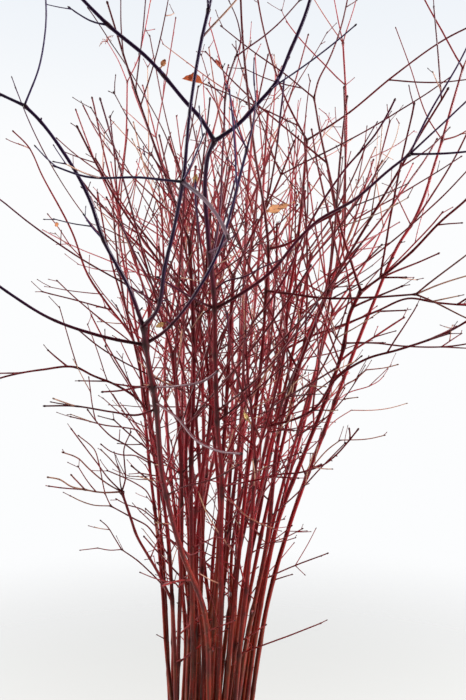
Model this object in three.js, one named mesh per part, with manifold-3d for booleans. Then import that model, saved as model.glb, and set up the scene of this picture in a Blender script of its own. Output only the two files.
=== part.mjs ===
// Siberian dogwood canes standing in a plain floor vase. Millimetres, +Z up,
// origin at the middle of the vase's underside, +Y away from the viewer.

import * as THREE from 'three';
import { mergeVertices } from 'three/addons/utils/BufferGeometryUtils.js';
import Module from 'manifold-3d';

const wasm = await Module();
wasm.setup();

// Driving dimensions of the vase and the water in it.
const vaseHeight = 450;
const vaseFootRadius = 88;
const vaseMouthRadius = 98;
const vaseBelly = 18; // how far the side swells out between foot and mouth
const vaseWall = 9;
const vaseFloor = 12;
const vaseSides = 30;
const vaseRows = 6; // straight runs up the side, outside and inside
const footBevel = 3;
const waterLevel = 260;
const fit = 0.3; // gap left between pieces that touch
const holeFit = 0.4; // gap round a cane in its hole in the water

// Driving dimensions of the bundle and of the canes that a rule plants in it.
const caneCount = 38;
const bundleRadius = 70; // from the axis to the middle of the outermost canes, at the mouth
const footShare = 0.74; // the cut feet stand this much closer together
const caneGirth = [8.2, 10.8]; // diameter at the foot, slimmest and stoutest
const caneTaper = 0.0006; // share of its girth that a cane loses for each millimetre over the mouth
const leanLeast = 0.02; // sideways run for each millimetre of rise, in the middle of the bundle
const leanMost = 0.29; // and at its edge
const leanVaries = 0.045;
const leanLeftShare = 0.5; // of that run is kept where it leads towards -X
const leanTurns = 0.9; // radians by which a cane leans past the way straight out of the vase
const leanAtMouth = 0.2; // share of a cane's lean that it already has at the mouth
const leanSettles = 400; // height over the mouth at which a cane has its full lean
const driftRight = 0.05; // the whole head leans a little towards +X
const sway = [7, 24]; // how far a cane's bends carry it to one side
const swayWave = [420, 820]; // height from one bend to the next like it
const straightRun = 130; // from the mouth to the first bend
const caneRun = 190; // about the height between two points of a cane's route
const forkHeights = [980, 1480]; // where the canes of the rule divide
const leanLowersFork = 300; // by this much for a lean of 1
const crownHeight = 1880; // no arm of theirs reaches over this
const headRoom = 1.2; // clearance between two canes and all that grows on them

// Driving dimensions of what the rule grows on the canes. Angles are in radians.
const armLength = [200, 390]; // the two arms of a fork
const armSpread = [0.2, 0.52]; // from the cane's direction
const armLift = [0.02, 0.14]; // how far each stretch turns upwards
const armShare = [0.6, 0.8]; // of the cane's girth at the fork
const armTwigGirth = 2.4; // a twig on each arm
const armTwigSpread = [0.45, 0.75];
const armTwigShare = 0.42; // of the arm's length
const armTwigLift = 0.08;
const longShoots = 3; // side branches on each cane of the rule
const shootGirth = [2.3, 3.6];
const shootLength = [120, 330]; // of the lowest and the highest
const shootSpread = [1, 0.65];
const shootLift = [-0.06, 0.18];
const lowestShoot = 530; // height over the floor
const longTwig = 170; // a side branch over this length has one bend more
const goldenTurn = 2.4; // round the cane from one side branch to the next
const wander = 0.07; // by which each stretch strays from its course

// Flat sides of a cane, a stout branch and a twig.
const caneSides = 5;
const branchSides = 4;
const twigSides = 3;
const stoutBranch = 5.2; // diameter from which a branch is a stout one
const tipShare = 0.68; // diameter at a branch's tip, as a share of its root

const up = new THREE.Vector3(0, 0, 1);
const at = (x, y, z) => new THREE.Vector3(x, y, z);

// A seeded draw: each cane has its own, so the canes come out alike in every run.
function dice(seed) {
  let state = seed * 7919 + 17;
  return (low = 0, high = 1) => {
    state = (state * 16807) % 2147483647;
    return low + ((high - low) * state) / 2147483647;
  };
}

// A shoot is its diameters at root and tip, the points that it runs through, and what
// grows on it. The first point of a side shoot lies on the shoot that carries it.
const stem = (girth, tip, route, ...sides) => ({ girth, tip, route: route.map((p) => at(...p)), sides });
const shoot = (girth, route, ...sides) => stem(girth, girth * tipShare, route, ...sides);

// The thirteen leading canes, whose forks stand in front of or beside the others.
const leadingCanes = [
  // Front left: three arms at one knot, the tallest nearest the viewer.
  stem(
    11,
    6.8,
    [
      [4, -62, 522], [-3, -100, 687], [-36, -150, 798], [-57, -215, 920], [-59, -300, 1041],
      [-63, -365, 1113], [-63, -385, 1136],
    ],
    stem(4.8, 3, [
      [-63, -365, 1113], [-123, -375, 1126], [-175, -390, 1145], [-212, -400, 1169],
      [-261, -410, 1209], [-294, -415, 1251],
    ]),
    stem(
      5,
      3.7,
      [
        [-63, -382, 1134], [-76, -400, 1176], [-104, -420, 1233], [-119, -430, 1280],
        [-145, -440, 1328], [-172, -450, 1364], [-185, -452, 1376],
      ],
      shoot(3.6, [
        [-185, -452, 1376], [-211, -455, 1388], [-258, -460, 1411], [-295, -462, 1449],
      ]),
      shoot(2.6, [
        [-185, -452, 1376], [-168, -455, 1417], [-160, -460, 1455], [-159, -470, 1525],
      ]),
      shoot(2.2, [[-104, -420, 1233], [-118, -418, 1249], [-129, -416, 1265]]),
    ),
    stem(
      4.9,
      3.3,
      [
        [-63, -385, 1136], [-48, -395, 1150], [-33, -430, 1204], [-21, -450, 1243],
        [-9, -480, 1285], [0, -505, 1352], [11, -520, 1408], [20, -530, 1443],
      ],
      shoot(3, [[20, -530, 1443], [18, -535, 1464], [12, -540, 1505]]),
      shoot(3, [[20, -530, 1443], [27, -530, 1466], [37, -530, 1516]]),
      shoot(3, [[-9, -480, 1285], [-50, -490, 1287], [-111, -495, 1287], [-142, -500, 1297]]),
      stem(4.8, 3.4, [[-9, -480, 1285], [16, -520, 1257], [30, -550, 1233], [40, -575, 1209]]),
      shoot(2.6, [[-9, -480, 1285], [1, -500, 1297], [16, -530, 1321]]),
    ),
    shoot(
      4.6,
      [
        [-63, -367, 1115], [-45, -371, 1125], [-25, -378, 1143], [-5, -385, 1169],
        [29, -400, 1229], [42, -410, 1270],
        [52, -415, 1308], [60, -420, 1337],
      ],
      shoot(2.6, [[60, -420, 1337], [66, -424, 1359], [70, -428, 1387], [68, -430, 1409]]),
      shoot(2.2, [[60, -420, 1337], [49, -425, 1361], [43, -430, 1379]]),
      stem(1.6, 1.5, [[-31, -376, 1138], [-33, -384, 1140], [-36, -390, 1141]]),
    ),
    stem(3.6, 2.8, [
      [-57, -298, 1038], [-26, -340, 1022], [3, -380, 997], [29, -410, 990], [57, -440, 991],
    ]),
    stem(2.6, 2.2, [
      [-52, -200, 893], [-19, -222, 912], [3, -232, 919], [23, -240, 928], [54, -250, 948],
    ]),
    stem(3.7, 2.6, [[-58, -315, 1060], [-25, -350, 1063], [14, -380, 1073], [29, -390, 1084]]),
    stem(
      3.2,
      2.2,
      [[-58, -315, 1060], [-75, -330, 1061], [-106, -345, 1066]],
      stem(2.6, 2, [[-75, -330, 1061], [-98, -345, 1057], [-120, -355, 1056]]),
    ),
    shoot(
      3.2,
      [
        [-58, -290, 1028], [-82, -300, 1021], [-113, -310, 1026], [-161, -322, 1035],
        [-198, -332, 1036],
      ],
      shoot(1.9, [[-157, -322, 1034], [-191, -328, 1041]]),
    ),
  ),
  // Front middle: upright, ending in a wide fork.
  stem(
    11,
    5.3,
    [
      [18, -40, 510], [24, -75, 694], [25, -110, 827], [27, -140, 905], [20, -190, 1003],
      [19, -245, 1114], [19, -270, 1163], [12, -328, 1254], [11, -370, 1325],
      [15, -384, 1344], [22, -392, 1355],
    ],
    stem(
      4.9,
      3.6,
      [
        [22, -392, 1355], [6, -400, 1380], [-13, -405, 1399], [-29, -408, 1417], [-52, -415, 1441],
        [-98, -425, 1477], [-160, -440, 1543], [-187, -445, 1590],
      ],
      shoot(2.6, [[-98, -425, 1477], [-113, -428, 1479], [-143, -432, 1495]]),
      stem(1.7, 1.5, [[-37, -411, 1425], [-39, -417, 1429], [-41, -421, 1431]]),
    ),
    stem(4.8, 3.6, [
      [22, -392, 1355], [49, -400, 1371], [72, -405, 1394], [96, -412, 1421],
      [109, -418, 1449], [125, -425, 1485], [147, -440, 1565],
    ]),
    stem(
      5,
      3.5,
      [
        [19, -270, 1163], [44, -280, 1176], [97, -290, 1214], [129, -300, 1252],
        [153, -305, 1275], [202, -320, 1302], [242, -335, 1335], [266, -345, 1353],
      ],
      shoot(3.2, [[266, -345, 1353], [304, -350, 1352], [376, -355, 1358]]),
      shoot(3, [[266, -345, 1353], [290, -350, 1404], [323, -360, 1462], [353, -365, 1524]]),
      shoot(3, [[266, -345, 1353], [302, -345, 1386], [337, -345, 1420], [386, -345, 1465]]),
    ),
    shoot(3.6, [[19, -270, 1163], [-11, -285, 1178], [-57, -305, 1204]]),
    shoot(3, [[20, -188, 1001], [43, -200, 1019], [83, -215, 1055], [118, -225, 1086]]),
    stem(4.2, 3.2, [[13, -315, 1234], [29, -360, 1235], [39, -400, 1239]]),
    stem(
      3.2,
      2.5,
      [
        [15, -305, 1217], [22, -300, 1252], [27, -292, 1300], [29, -285, 1349], [32, -278, 1405],
        [34, -272, 1452], [41, -268, 1488], [48, -265, 1510],
      ],
      stem(2.3, 1.9, [
        [48, -265, 1510], [55, -262, 1531], [52, -258, 1557], [38, -250, 1596],
      ]),
      stem(2.3, 1.9, [
        [48, -265, 1510], [63, -262, 1522], [84, -258, 1539], [109, -254, 1563], [138, -250, 1596],
      ]),
      stem(1.8, 1.6, [[34, -272, 1449], [24, -275, 1459], [10, -279, 1470]]),
      stem(1.7, 1.5, [[36, -271, 1456], [34, -268, 1477], [30, -265, 1499]]),
    ),
    stem(
      3.2,
      2.6,
      [
        [27, -137, 893], [55, -178, 906], [95, -186, 916], [115, -190, 922], [142, -194, 925],
        [163, -196, 931], [181, -198, 939], [196, -198, 951], [217, -196, 974], [231, -194, 991],
      ],
      stem(2.4, 2.2, [[217, -196, 974], [217, -198, 983], [215, -200, 993]]),
    ),
    stem(2.6, 2.1, [
      [17, -285, 1186], [34, -292, 1198], [59, -296, 1204], [80, -300, 1215], [110, -304, 1227],
    ]),
    stem(2.8, 2.2, [
      [20, -238, 1100], [27, -250, 1121], [37, -256, 1143], [46, -260, 1161], [60, -268, 1197],
    ]),
    stem(2.8, 2.2, [
      [27, -131, 880], [52, -152, 864], [61, -160, 856], [83, -168, 845], [108, -174, 836],
    ]),
    shoot(
      4,
      [[20, -216, 1056], [43, -225, 1096], [65, -235, 1130], [72, -240, 1146]],
      shoot(
        3.6,
        [
          [72, -240, 1146], [96, -250, 1175], [120, -255, 1214], [141, -260, 1263],
          [196, -270, 1352], [237, -280, 1399], [262, -290, 1444],
        ],
        shoot(2, [[214, -275, 1375], [238, -285, 1416]]),
      ),
      shoot(2.6, [[72, -240, 1146], [66, -245, 1177], [54, -250, 1230]]),
    ),
  ),
  // Right, the first of the leaning pair.
  stem(
    10.8,
    5.7,
    [
      [68, -20, 500], [93, -40, 681], [118, -60, 814], [161, -80, 936], [198, -100, 1039],
      [220, -110, 1107], [230, -120, 1166], [246, -125, 1200],
    ],
    stem(
      4.7,
      2.9,
      [
        [246, -125, 1200], [231, -130, 1242], [211, -135, 1304], [197, -140, 1369],
        [182, -145, 1431], [169, -150, 1496],
      ],
      shoot(2.7, [[169, -150, 1496], [135, -155, 1522], [67, -160, 1569], [24, -165, 1601]]),
      shoot(2.8, [
        [169, -150, 1496], [177, -150, 1525], [191, -150, 1553], [209, -150, 1601],
        [232, -150, 1709],
      ]),
    ),
    stem(4.3, 3.4, [
      [246, -125, 1200], [276, -140, 1221], [317, -155, 1257], [359, -170, 1302],
      [393, -180, 1332], [440, -190, 1389],
    ]),
    shoot(3.4, [
      [222, -112, 1118], [268, -120, 1118], [313, -130, 1113], [403, -150, 1116],
      [452, -160, 1130],
    ]),
    stem(2.9, 2.4, [
      [221, -111, 1111], [196, -134, 1140], [163, -150, 1163], [137, -162, 1177], [115, -170, 1189],
    ]),
    stem(2.8, 2.2, [
      [204, -103, 1058], [183, -126, 1087], [166, -136, 1111], [156, -142, 1130], [138, -148, 1148],
    ]),
    stem(2.4, 2, [[195, -98, 1030], [163, -124, 1058], [144, -134, 1070], [117, -144, 1087]]),
  ),
  // Right, the second of the leaning pair and the farthest out.
  stem(
    11.2,
    3.7,
    [
      [78, 10, 485], [106, 0, 666], [147, -10, 813], [198, -10, 951], [242, -10, 1069],
      [291, -10, 1193], [338, -10, 1299], [355, -10, 1325], [401, -10, 1446],
      [429, -10, 1542], [446, -10, 1600],
    ],
    shoot(3, [[446, -10, 1600], [407, -12, 1666], [378, -15, 1716], [343, -18, 1793]]),
    shoot(3, [[446, -10, 1600], [472, -10, 1658], [510, -12, 1744]]),
    shoot(2.6, [[410, -10, 1474], [385, -15, 1509], [350, -22, 1600], [325, -25, 1665]]),
    shoot(3, [[410, -10, 1474], [433, -8, 1480], [478, -5, 1507]]),
    shoot(2.6, [[355, -10, 1325], [324, -14, 1384], [316, -15, 1396]]),
    stem(
      3,
      2.3,
      [[223, -10, 1018], [238, -24, 1046], [253, -34, 1056], [270, -42, 1073]],
      stem(2.1, 1.8, [[270, -42, 1073], [303, -48, 1077], [324, -52, 1083]]),
    ),
    stem(2.3, 1.8, [
      [222, -10, 1016], [253, 14, 1032], [290, 24, 1043], [308, 30, 1052], [318, 34, 1061],
    ]),
    stem(
      2.5,
      2,
      [[177, -10, 893], [212, -22, 937], [229, -30, 952]],
      stem(2, 1.6, [[229, -30, 952], [278, -36, 955], [305, -40, 962]]),
    ),
    stem(
      2.2,
      1.9,
      [[201, -10, 960], [225, 10, 981], [256, 22, 999]],
      stem(1.7, 1.5, [[256, 22, 999], [286, 26, 998], [321, 30, 1001], [361, 34, 1011]]),
    ),
  ),
  // Right of the middle, with a long arm out to the right.
  stem(
    9.6,
    4.4,
    [
      [42, 30, 474], [60, 0, 666], [94, -20, 847], [117, -40, 988], [131, -60, 1124],
      [137, -75, 1200], [148, -90, 1272], [156, -110, 1363], [161, -120, 1440],
    ],
    shoot(3.4, [[161, -120, 1440], [124, -125, 1510], [97, -130, 1591], [70, -140, 1730]]),
    stem(1.8, 1.6, [[154, -104, 1341], [148, -112, 1344], [144, -116, 1346]]),
    stem(3.3, 2.4, [
      [161, -120, 1440], [185, -125, 1453], [223, -130, 1478], [293, -135, 1534],
      [368, -140, 1587], [456, -150, 1628],
    ]),
    shoot(4.6, [
      [130, -58, 1107], [171, -80, 1128], [235, -110, 1152], [278, -130, 1170],
      [326, -150, 1189], [362, -160, 1182], [448, -170, 1174],
    ]),
  ),
  // Middle, with two arms reaching to the right in front of the leaning pair.
  stem(
    9.8,
    3,
    [
      [32, -65, 523], [47, -80, 696], [63, -100, 865], [76, -120, 983], [89, -150, 1107],
      [94, -175, 1197], [97, -190, 1257], [92, -200, 1302], [76, -210, 1389],
      [66, -220, 1471], [57, -228, 1564], [54, -232, 1633],
    ],
    stem(4.6, 3.8, [
      [97, -190, 1257], [121, -187, 1263], [144, -185, 1276], [171, -183, 1298], [189, -182, 1307],
      [207, -180, 1317],
    ]),
    stem(1.7, 1.5, [[76, -120, 983], [74, -130, 987], [71, -137, 992]]),
    stem(2.2, 1.8, [
      [92, -167, 1168], [86, -176, 1184], [69, -186, 1201], [57, -192, 1216], [26, -202, 1250],
      [13, -208, 1266],
    ]),
    shoot(4.6, [
      [76, -120, 983], [113, -150, 993], [142, -160, 1003], [166, -165, 1017],
      [201, -175, 1066], [245, -180, 1094], [290, -185, 1107], [353, -190, 1129],
      [436, -200, 1183],
    ]),
    shoot(
      4.4,
      [
        [94, -175, 1196], [132, -190, 1190], [179, -200, 1183], [240, -205, 1184],
        [310, -210, 1188],
      ],
      shoot(3, [[310, -210, 1188], [345, -212, 1216], [381, -215, 1244], [429, -218, 1280]]),
      shoot(2.6, [[310, -210, 1188], [347, -205, 1203], [436, -200, 1230]]),
      shoot(3, [[310, -210, 1188], [331, -214, 1179], [380, -220, 1153], [427, -225, 1133]]),
    ),
  ),
  // Right, behind, straight and tall with a three-way tip.
  stem(
    9.8,
    3.3,
    [
      [62, 30, 474], [84, 30, 619], [135, 40, 834], [185, 45, 1016], [222, 50, 1199],
      [244, 50, 1327], [250, 50, 1438], [252, 50, 1548], [246, 50, 1671],
    ],
    shoot(2.2, [[246, 50, 1671], [230, 50, 1750], [213, 50, 1833]]),
    shoot(2.2, [[246, 50, 1671], [196, 45, 1742], [166, 42, 1791]]),
    shoot(2.2, [[246, 50, 1671], [269, 55, 1747], [282, 58, 1809]]),
  ),
  // Far left, bowed outwards and thin at the tip.
  stem(
    9.6,
    2.4,
    [
      [-63, -5, 492], [-75, -5, 598], [-79, 0, 666], [-88, 0, 772], [-102, 0, 895],
      [-115, 0, 1019], [-131, 0, 1123], [-177, -5, 1188], [-208, -8, 1235], [-236, -10, 1310],
      [-289, -15, 1412], [-312, -18, 1461], [-339, -20, 1488],
    ],
    stem(2.5, 2.1, [
      [-94, 0, 828], [-108, -14, 863], [-123, -24, 876], [-142, -34, 888], [-171, -44, 903],
    ]),
    stem(2.5, 2.1, [
      [-108, 0, 948], [-123, -10, 966], [-148, -20, 973], [-175, -28, 977], [-210, -36, 987],
      [-235, -42, 994],
    ]),
    stem(2.3, 2, [
      [-103, 0, 908], [-128, -16, 924], [-147, -24, 926], [-166, -30, 933], [-183, -36, 947],
    ]),
    stem(2.2, 1.9, [[-92, 0, 806], [-117, -20, 832], [-138, -30, 841], [-157, -40, 854]]),
    stem(2, 1.7, [[-221, -9, 1270], [-237, -14, 1288], [-255, -18, 1314], [-278, -22, 1344]]),
  ),
  // Left, behind, upright with a fork above the rest of the left side.
  stem(
    9.8,
    2.8,
    [
      [-71, 40, 469], [-81, 55, 646], [-92, 70, 790], [-103, 80, 919], [-123, 90, 1050],
      [-146, 95, 1183], [-172, 100, 1317], [-176, 100, 1374], [-160, 100, 1520],
      [-158, 100, 1619],
    ],
    shoot(2.2, [[-158, 100, 1619], [-175, 98, 1660], [-196, 95, 1695]]),
    shoot(2.4, [[-158, 100, 1619], [-138, 102, 1662], [-128, 104, 1707], [-100, 108, 1857]]),
  ),
  // Left, in front, with a long arm to the left and a low spray of thin ones.
  stem(
    9.8,
    2.8,
    [
      [-52, -55, 518], [-57, -70, 692], [-66, -80, 827], [-80, -92, 944], [-95, -100, 1012],
      [-108, -110, 1091], [-129, -118, 1186], [-141, -125, 1281], [-146, -130, 1359],
    ],
    shoot(
      4.4,
      [
        [-95, -100, 1012], [-115, -108, 1033], [-147, -115, 1053], [-180, -120, 1067],
        [-202, -125, 1079], [-255, -135, 1076], [-303, -145, 1067], [-362, -150, 1048],
      ],
      shoot(2.2, [[-202, -125, 1079], [-209, -130, 1107], [-228, -135, 1176]]),
    ),
    stem(
      5,
      4,
      [
        [-57, -70, 689], [-79, -88, 744], [-95, -100, 777], [-110, -110, 809], [-119, -120, 842],
        [-131, -130, 884],
      ],
      stem(2.7, 2.2, [
        [-131, -130, 884], [-125, -132, 903], [-126, -134, 932], [-127, -134, 950], [-116, -130, 980],
      ]),
      stem(2.3, 1.9, [
        [-131, -130, 884], [-152, -134, 907], [-168, -140, 931], [-184, -146, 954], [-207, -150, 987],
      ]),
      stem(
        2.9,
        2.2,
        [
          [-131, -130, 884], [-160, -134, 884], [-187, -138, 889], [-208, -143, 895],
          [-224, -147, 906], [-244, -150, 911],
        ],
        stem(2.3, 2, [[-187, -138, 889], [-217, -136, 891], [-247, -134, 894]]),
        stem(2.4, 2.1, [[-187, -138, 889], [-198, -142, 903], [-208, -146, 915]]),
      ),
      stem(2.6, 2.3, [
        [-131, -130, 884], [-134, -128, 901], [-135, -126, 916], [-146, -124, 930], [-167, -120, 950],
      ]),
      stem(2.4, 2.1, [
        [-131, -130, 884], [-148, -132, 894], [-167, -130, 907], [-186, -126, 922],
        [-200, -122, 934], [-229, -118, 945],
      ]),
    ),
    stem(3, 2.3, [
      [-77, -89, 918], [-110, -96, 938], [-130, -106, 955], [-149, -116, 968],
      [-166, -124, 987], [-185, -134, 1015],
    ]),
    stem(
      3,
      2.4,
      [
        [-62, -75, 765], [-84, -86, 803], [-97, -94, 822], [-116, -100, 834], [-134, -106, 846],
        [-152, -112, 858],
      ],
      stem(2, 1.7, [[-152, -112, 858], [-179, -118, 861], [-197, -122, 868], [-215, -126, 878]]),
      stem(2, 1.8, [
        [-152, -112, 858], [-158, -116, 874], [-169, -122, 928], [-174, -126, 948], [-200, -132, 974],
      ]),
    ),
    stem(
      2.6,
      2,
      [[-57, -70, 698], [-80, -78, 729], [-97, -86, 749], [-111, -92, 764], [-136, -100, 785]],
      stem(1.9, 1.6, [[-136, -100, 785], [-146, -104, 804], [-158, -108, 825], [-169, -112, 836]]),
      stem(1.8, 1.5, [[-136, -100, 785], [-153, -104, 785], [-175, -108, 790]]),
    ),
  ),
  // Middle, behind, stout and nearly straight.
  stem(
    10,
    4.2,
    [
      [44, 52, 474], [48, 60, 644], [57, 68, 865], [70, 76, 1051], [86, 84, 1201], [97, 90, 1334],
      [103, 95, 1449], [111, 100, 1565],
    ],
    stem(3, 2.2, [[103, 95, 1446], [94, 97, 1545], [86, 99, 1670]]),
  ),
  // Middle, behind, beside it.
  stem(
    10.4,
    4.6,
    [
      [16, 60, 474], [24, 66, 642], [38, 73, 864], [53, 80, 1051], [63, 86, 1201], [69, 90, 1344],
      [74, 94, 1440], [90, 100, 1604],
    ],
    stem(3, 2.2, [[69, 90, 1344], [53, 92, 1458], [44, 94, 1582]]),
  ),
  // Left of the middle, behind, turning back to the right.
  stem(
    9.8,
    4,
    [
      [-24, 50, 474], [-39, 60, 644], [-62, 68, 790], [-78, 77, 938], [-83, 86, 1113],
      [-72, 90, 1183], [-57, 94, 1271], [-44, 97, 1336], [-27, 100, 1460],
    ],
    stem(3, 2.2, [[-46, 97, 1330], [-51, 98, 1441], [-65, 100, 1556]]),
  ),
];

// Everything that stands in the air is kept as short straight stretches, sorted
// into cubes of space, so that a new shoot is only measured against its neighbours.
const cube = 60;
const filled = new Map();

function eachCube(a, b, reach, visit) {
  const low = a.clone().min(b).subScalar(reach).divideScalar(cube).floor();
  const high = a.clone().max(b).addScalar(reach).divideScalar(cube).floor();
  for (let x = low.x; x <= high.x; x++)
    for (let y = low.y; y <= high.y; y++)
      for (let z = low.z; z <= high.z; z++) visit(`${x},${y},${z}`);
}

// Shortest distance between the stretches a-b and c-d.
function distance(a, b, c, d) {
  const first = b.clone().sub(a);
  const second = d.clone().sub(c);
  const between = a.clone().sub(c);
  const along1 = first.dot(first);
  const along2 = second.dot(second);
  const cross = first.dot(second);
  const lead1 = first.dot(between);
  const lead2 = second.dot(between);
  const spread = along1 * along2 - cross * cross;
  const clamp = (v) => Math.min(Math.max(v, 0), 1);
  let s = spread > 1e-6 ? clamp((cross * lead2 - lead1 * along2) / spread) : 0;
  let t = (cross * s + lead2) / along2;
  if (t < 0) {
    t = 0;
    s = clamp(-lead1 / along1);
  } else if (t > 1) {
    t = 1;
    s = clamp((cross - lead1) / along1);
  }
  return between.addScaledVector(first, s).addScaledVector(second, -t).length();
}

// How far along a route each of its points lies.
function milestones(points) {
  const miles = [0];
  for (let k = 1; k < points.length; k++) miles.push(miles[k - 1] + points[k].distanceTo(points[k - 1]));
  return miles;
}

// Radius at each point of a shoot that thins evenly from root to tip.
function thinning(points, girth, tip) {
  const miles = milestones(points);
  const length = miles[miles.length - 1];
  return miles.map((mile) => (girth + ((tip - girth) * mile) / length) / 2);
}

function isClear(points, radii, cane) {
  for (let k = 1; k < points.length; k++) {
    const near = new Set();
    const reach = radii[k - 1] + headRoom;
    eachCube(points[k - 1], points[k], reach, (key) => (filled.get(key) ?? []).forEach((s) => near.add(s)));
    for (const s of near)
      if (s.cane !== cane && distance(points[k - 1], points[k], s.a, s.b) < reach + s.radius) return false;
  }
  return true;
}

function settle(points, radii, cane) {
  for (let k = 1; k < points.length; k++) {
    const stretch = { a: points[k - 1], b: points[k], radius: radii[k - 1], cane };
    eachCube(stretch.a, stretch.b, stretch.radius, (key) => {
      if (!filled.has(key)) filled.set(key, []);
      filled.get(key).push(stretch);
    });
  }
}

// Every grown shoot, cane by cane: its points, its radii and its order, where 0 is a cane.
const canes = [];

function keep(cane, points, radii, order) {
  settle(points, radii, cane);
  const grown = { points, radii, order };
  canes[cane].push(grown);
  return grown;
}

// The point at a share of a route's length, with the direction and radius there.
function pointAt(grown, share) {
  const { points, radii } = grown;
  const miles = milestones(points);
  const mile = share * miles[miles.length - 1];
  let k = 0;
  while (k < points.length - 2 && miles[k + 1] < mile) k++;
  const part = (mile - miles[k]) / (miles[k + 1] - miles[k]);
  return {
    point: points[k].clone().lerp(points[k + 1], part),
    along: points[k + 1].clone().sub(points[k]).normalize(),
    radius: radii[k] + (radii[k + 1] - radii[k]) * part,
  };
}

// The point of a route nearest to p.
function nearestOn(grown, p) {
  let best = null;
  grown.points.slice(1).forEach((b, k) => {
    const a = grown.points[k];
    const run = b.clone().sub(a);
    const part = Math.min(Math.max(p.clone().sub(a).dot(run) / run.dot(run), 0), 1);
    const found = a.clone().addScaledVector(run, part);
    if (!best || found.distanceTo(p) < best.distanceTo(p)) best = found;
  });
  return best;
}

// A given route steps aside, forwards or back, where it would touch another cane.
const sidesteps = [0, -6, 6, -12, 12, -18, 18, -26, 26, -34, 34, -44, 44];

function bendClear(route, radii, cane) {
  for (const step of sidesteps) {
    const bent = route.map((p, k) => p.clone().add(at(0, step * Math.min(k / 2, 1), 0)));
    if (isClear(bent, radii, cane)) return bent;
  }
  return null;
}

// The cut foot, on the vase's floor, of a cane that passes the mouth at this point.
const footOf = (mouth) => at(mouth.x * footShare, mouth.y * footShare, vaseFloor + 2 * fit);

function plantLeadingCanes() {
  leadingCanes.forEach((plan, cane) => {
    const route = [footOf(plan.route[0]), ...plan.route];
    const radii = thinning(route, plan.girth, plan.tip);
    const bent = bendClear(route, radii, cane);
    if (!bent) throw new Error(`leading cane ${cane} finds no room`);
    canes[cane] = [];
    keep(cane, bent, radii, 0);
  });
}

function growPlanned(cane, carrier, sides, order) {
  for (const plan of sides) {
    const root = nearestOn(carrier, plan.route[0]);
    const moved = root.clone().sub(plan.route[0]);
    const route = plan.route.map((p) => p.clone().add(moved));
    const radii = thinning(route, plan.girth, plan.tip);
    const bent = bendClear(route, radii, cane);
    if (!bent) throw new Error(`a shoot of ${plan.girth} mm on leading cane ${cane} finds no room`);
    growPlanned(cane, keep(cane, bent, radii, order), plan.sides, order + 1);
  }
}

// How far a cane has leaned at a height over the mouth, for a lean of 1.
function leanRun(height) {
  const settled = Math.min(height, leanSettles);
  const bowed = (settled * settled) / (2 * leanSettles) + Math.max(height - leanSettles, 0);
  return leanAtMouth * height + (1 - leanAtMouth) * bowed;
}

// Heights of the points of a cane grown by rule, up to its fork.
function caneHeights(fork) {
  const heights = [vaseHeight, vaseHeight + straightRun];
  const rest = fork - heights[1];
  const count = Math.round(rest / caneRun);
  for (let k = 1; k <= count; k++) heights.push(heights[1] + (rest * k) / count);
  return heights;
}

// Plants a cane at the next place round the axis, anew until it stands clear.
function plantByRule(cane) {
  const draw = dice(cane + 1);
  const girth = draw(...caneGirth);
  for (let attempt = 0; attempt < 600; attempt++) {
    const share = Math.sqrt(draw());
    const out = bundleRadius * share;
    const round = cane * goldenTurn + draw(-0.5, 0.5) * (1 + attempt / 40);
    const leanTo = round + draw(-leanTurns, leanTurns);
    const lean = leanLeast + (leanMost - leanLeast) * share + draw(-leanVaries, leanVaries);
    const fork = draw(...forkHeights) - leanLowersFork * lean;
    const bent = draw(...sway);
    const wave = draw(...swayWave);
    const phase = draw(0, 2 * Math.PI);
    const bendTo = draw(0, 2 * Math.PI);
    const route = caneHeights(fork).map((z) => {
      const height = z - vaseHeight;
      const run = lean * leanRun(height);
      const across = run * Math.cos(leanTo);
      const grown = bent * Math.min(height / leanSettles, 1);
      const swing = grown * Math.sin(phase + (2 * Math.PI * height) / wave);
      return at(
        out * Math.cos(round) + across * (across < 0 ? leanLeftShare : 1) +
          swing * Math.cos(bendTo) + driftRight * height,
        out * Math.sin(round) + run * Math.sin(leanTo) + swing * Math.sin(bendTo),
        z,
      );
    });
    route.unshift(footOf(route[0]));
    const radii = thinning(route, girth, girth * (1 - caneTaper * (fork - vaseHeight)));
    if (isClear(route, radii, cane)) {
      canes[cane] = [];
      keep(cane, route, radii, 0);
      return;
    }
  }
  throw new Error(`cane ${cane} finds no room in the vase`);
}

// Two directions square to a shoot, from which side shoots are turned.
function squareTo(along) {
  const across = at(1, 0, 0).addScaledVector(along, -along.x).normalize();
  return [across, along.clone().cross(across)];
}

// A side shoot leaves its carrier at `spread` from it, on the side `turn`, and bends
// upwards by `lift` in each of its stretches.
function sideRoute(root, along, { turn, spread, length, steps, lift }, draw) {
  const [across, other] = squareTo(along);
  const outwards = across.multiplyScalar(Math.cos(turn)).addScaledVector(other, Math.sin(turn));
  const heading = along.clone().multiplyScalar(Math.cos(spread)).addScaledVector(outwards, Math.sin(spread));
  const route = [root.clone()];
  for (let k = 0; k < steps; k++) {
    heading.addScaledVector(up, lift);
    heading.add(at(draw(-wander, wander), draw(-wander, wander), draw(-wander, wander)));
    heading.normalize();
    route.push(route[k].clone().addScaledVector(heading, length / steps));
  }
  return route;
}

// Grows a side shoot by rule, turned and shortened until it stands clear.
function growSide(cane, carrier, share, girth, order, plan, draw) {
  const { point, along, radius } = pointAt(carrier, share);
  const thick = Math.min(girth, radius * 1.9);
  const root = point.addScaledVector(along, -radius * 0.5);
  for (let attempt = 0; attempt < 8; attempt++) {
    const turn = plan.turn + draw(-0.12, 0.12) * (1 + attempt);
    const spread = plan.spread + draw(-0.08, 0.08) * (1 + attempt * 0.6);
    const length = plan.length * (1 - 0.07 * attempt);
    const route = sideRoute(root, along, { ...plan, turn, spread, length }, draw);
    const radii = thinning(route, thick, thick * tipShare);
    if (isClear(route, radii, cane)) return keep(cane, route, radii, order);
  }
  return null;
}

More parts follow.
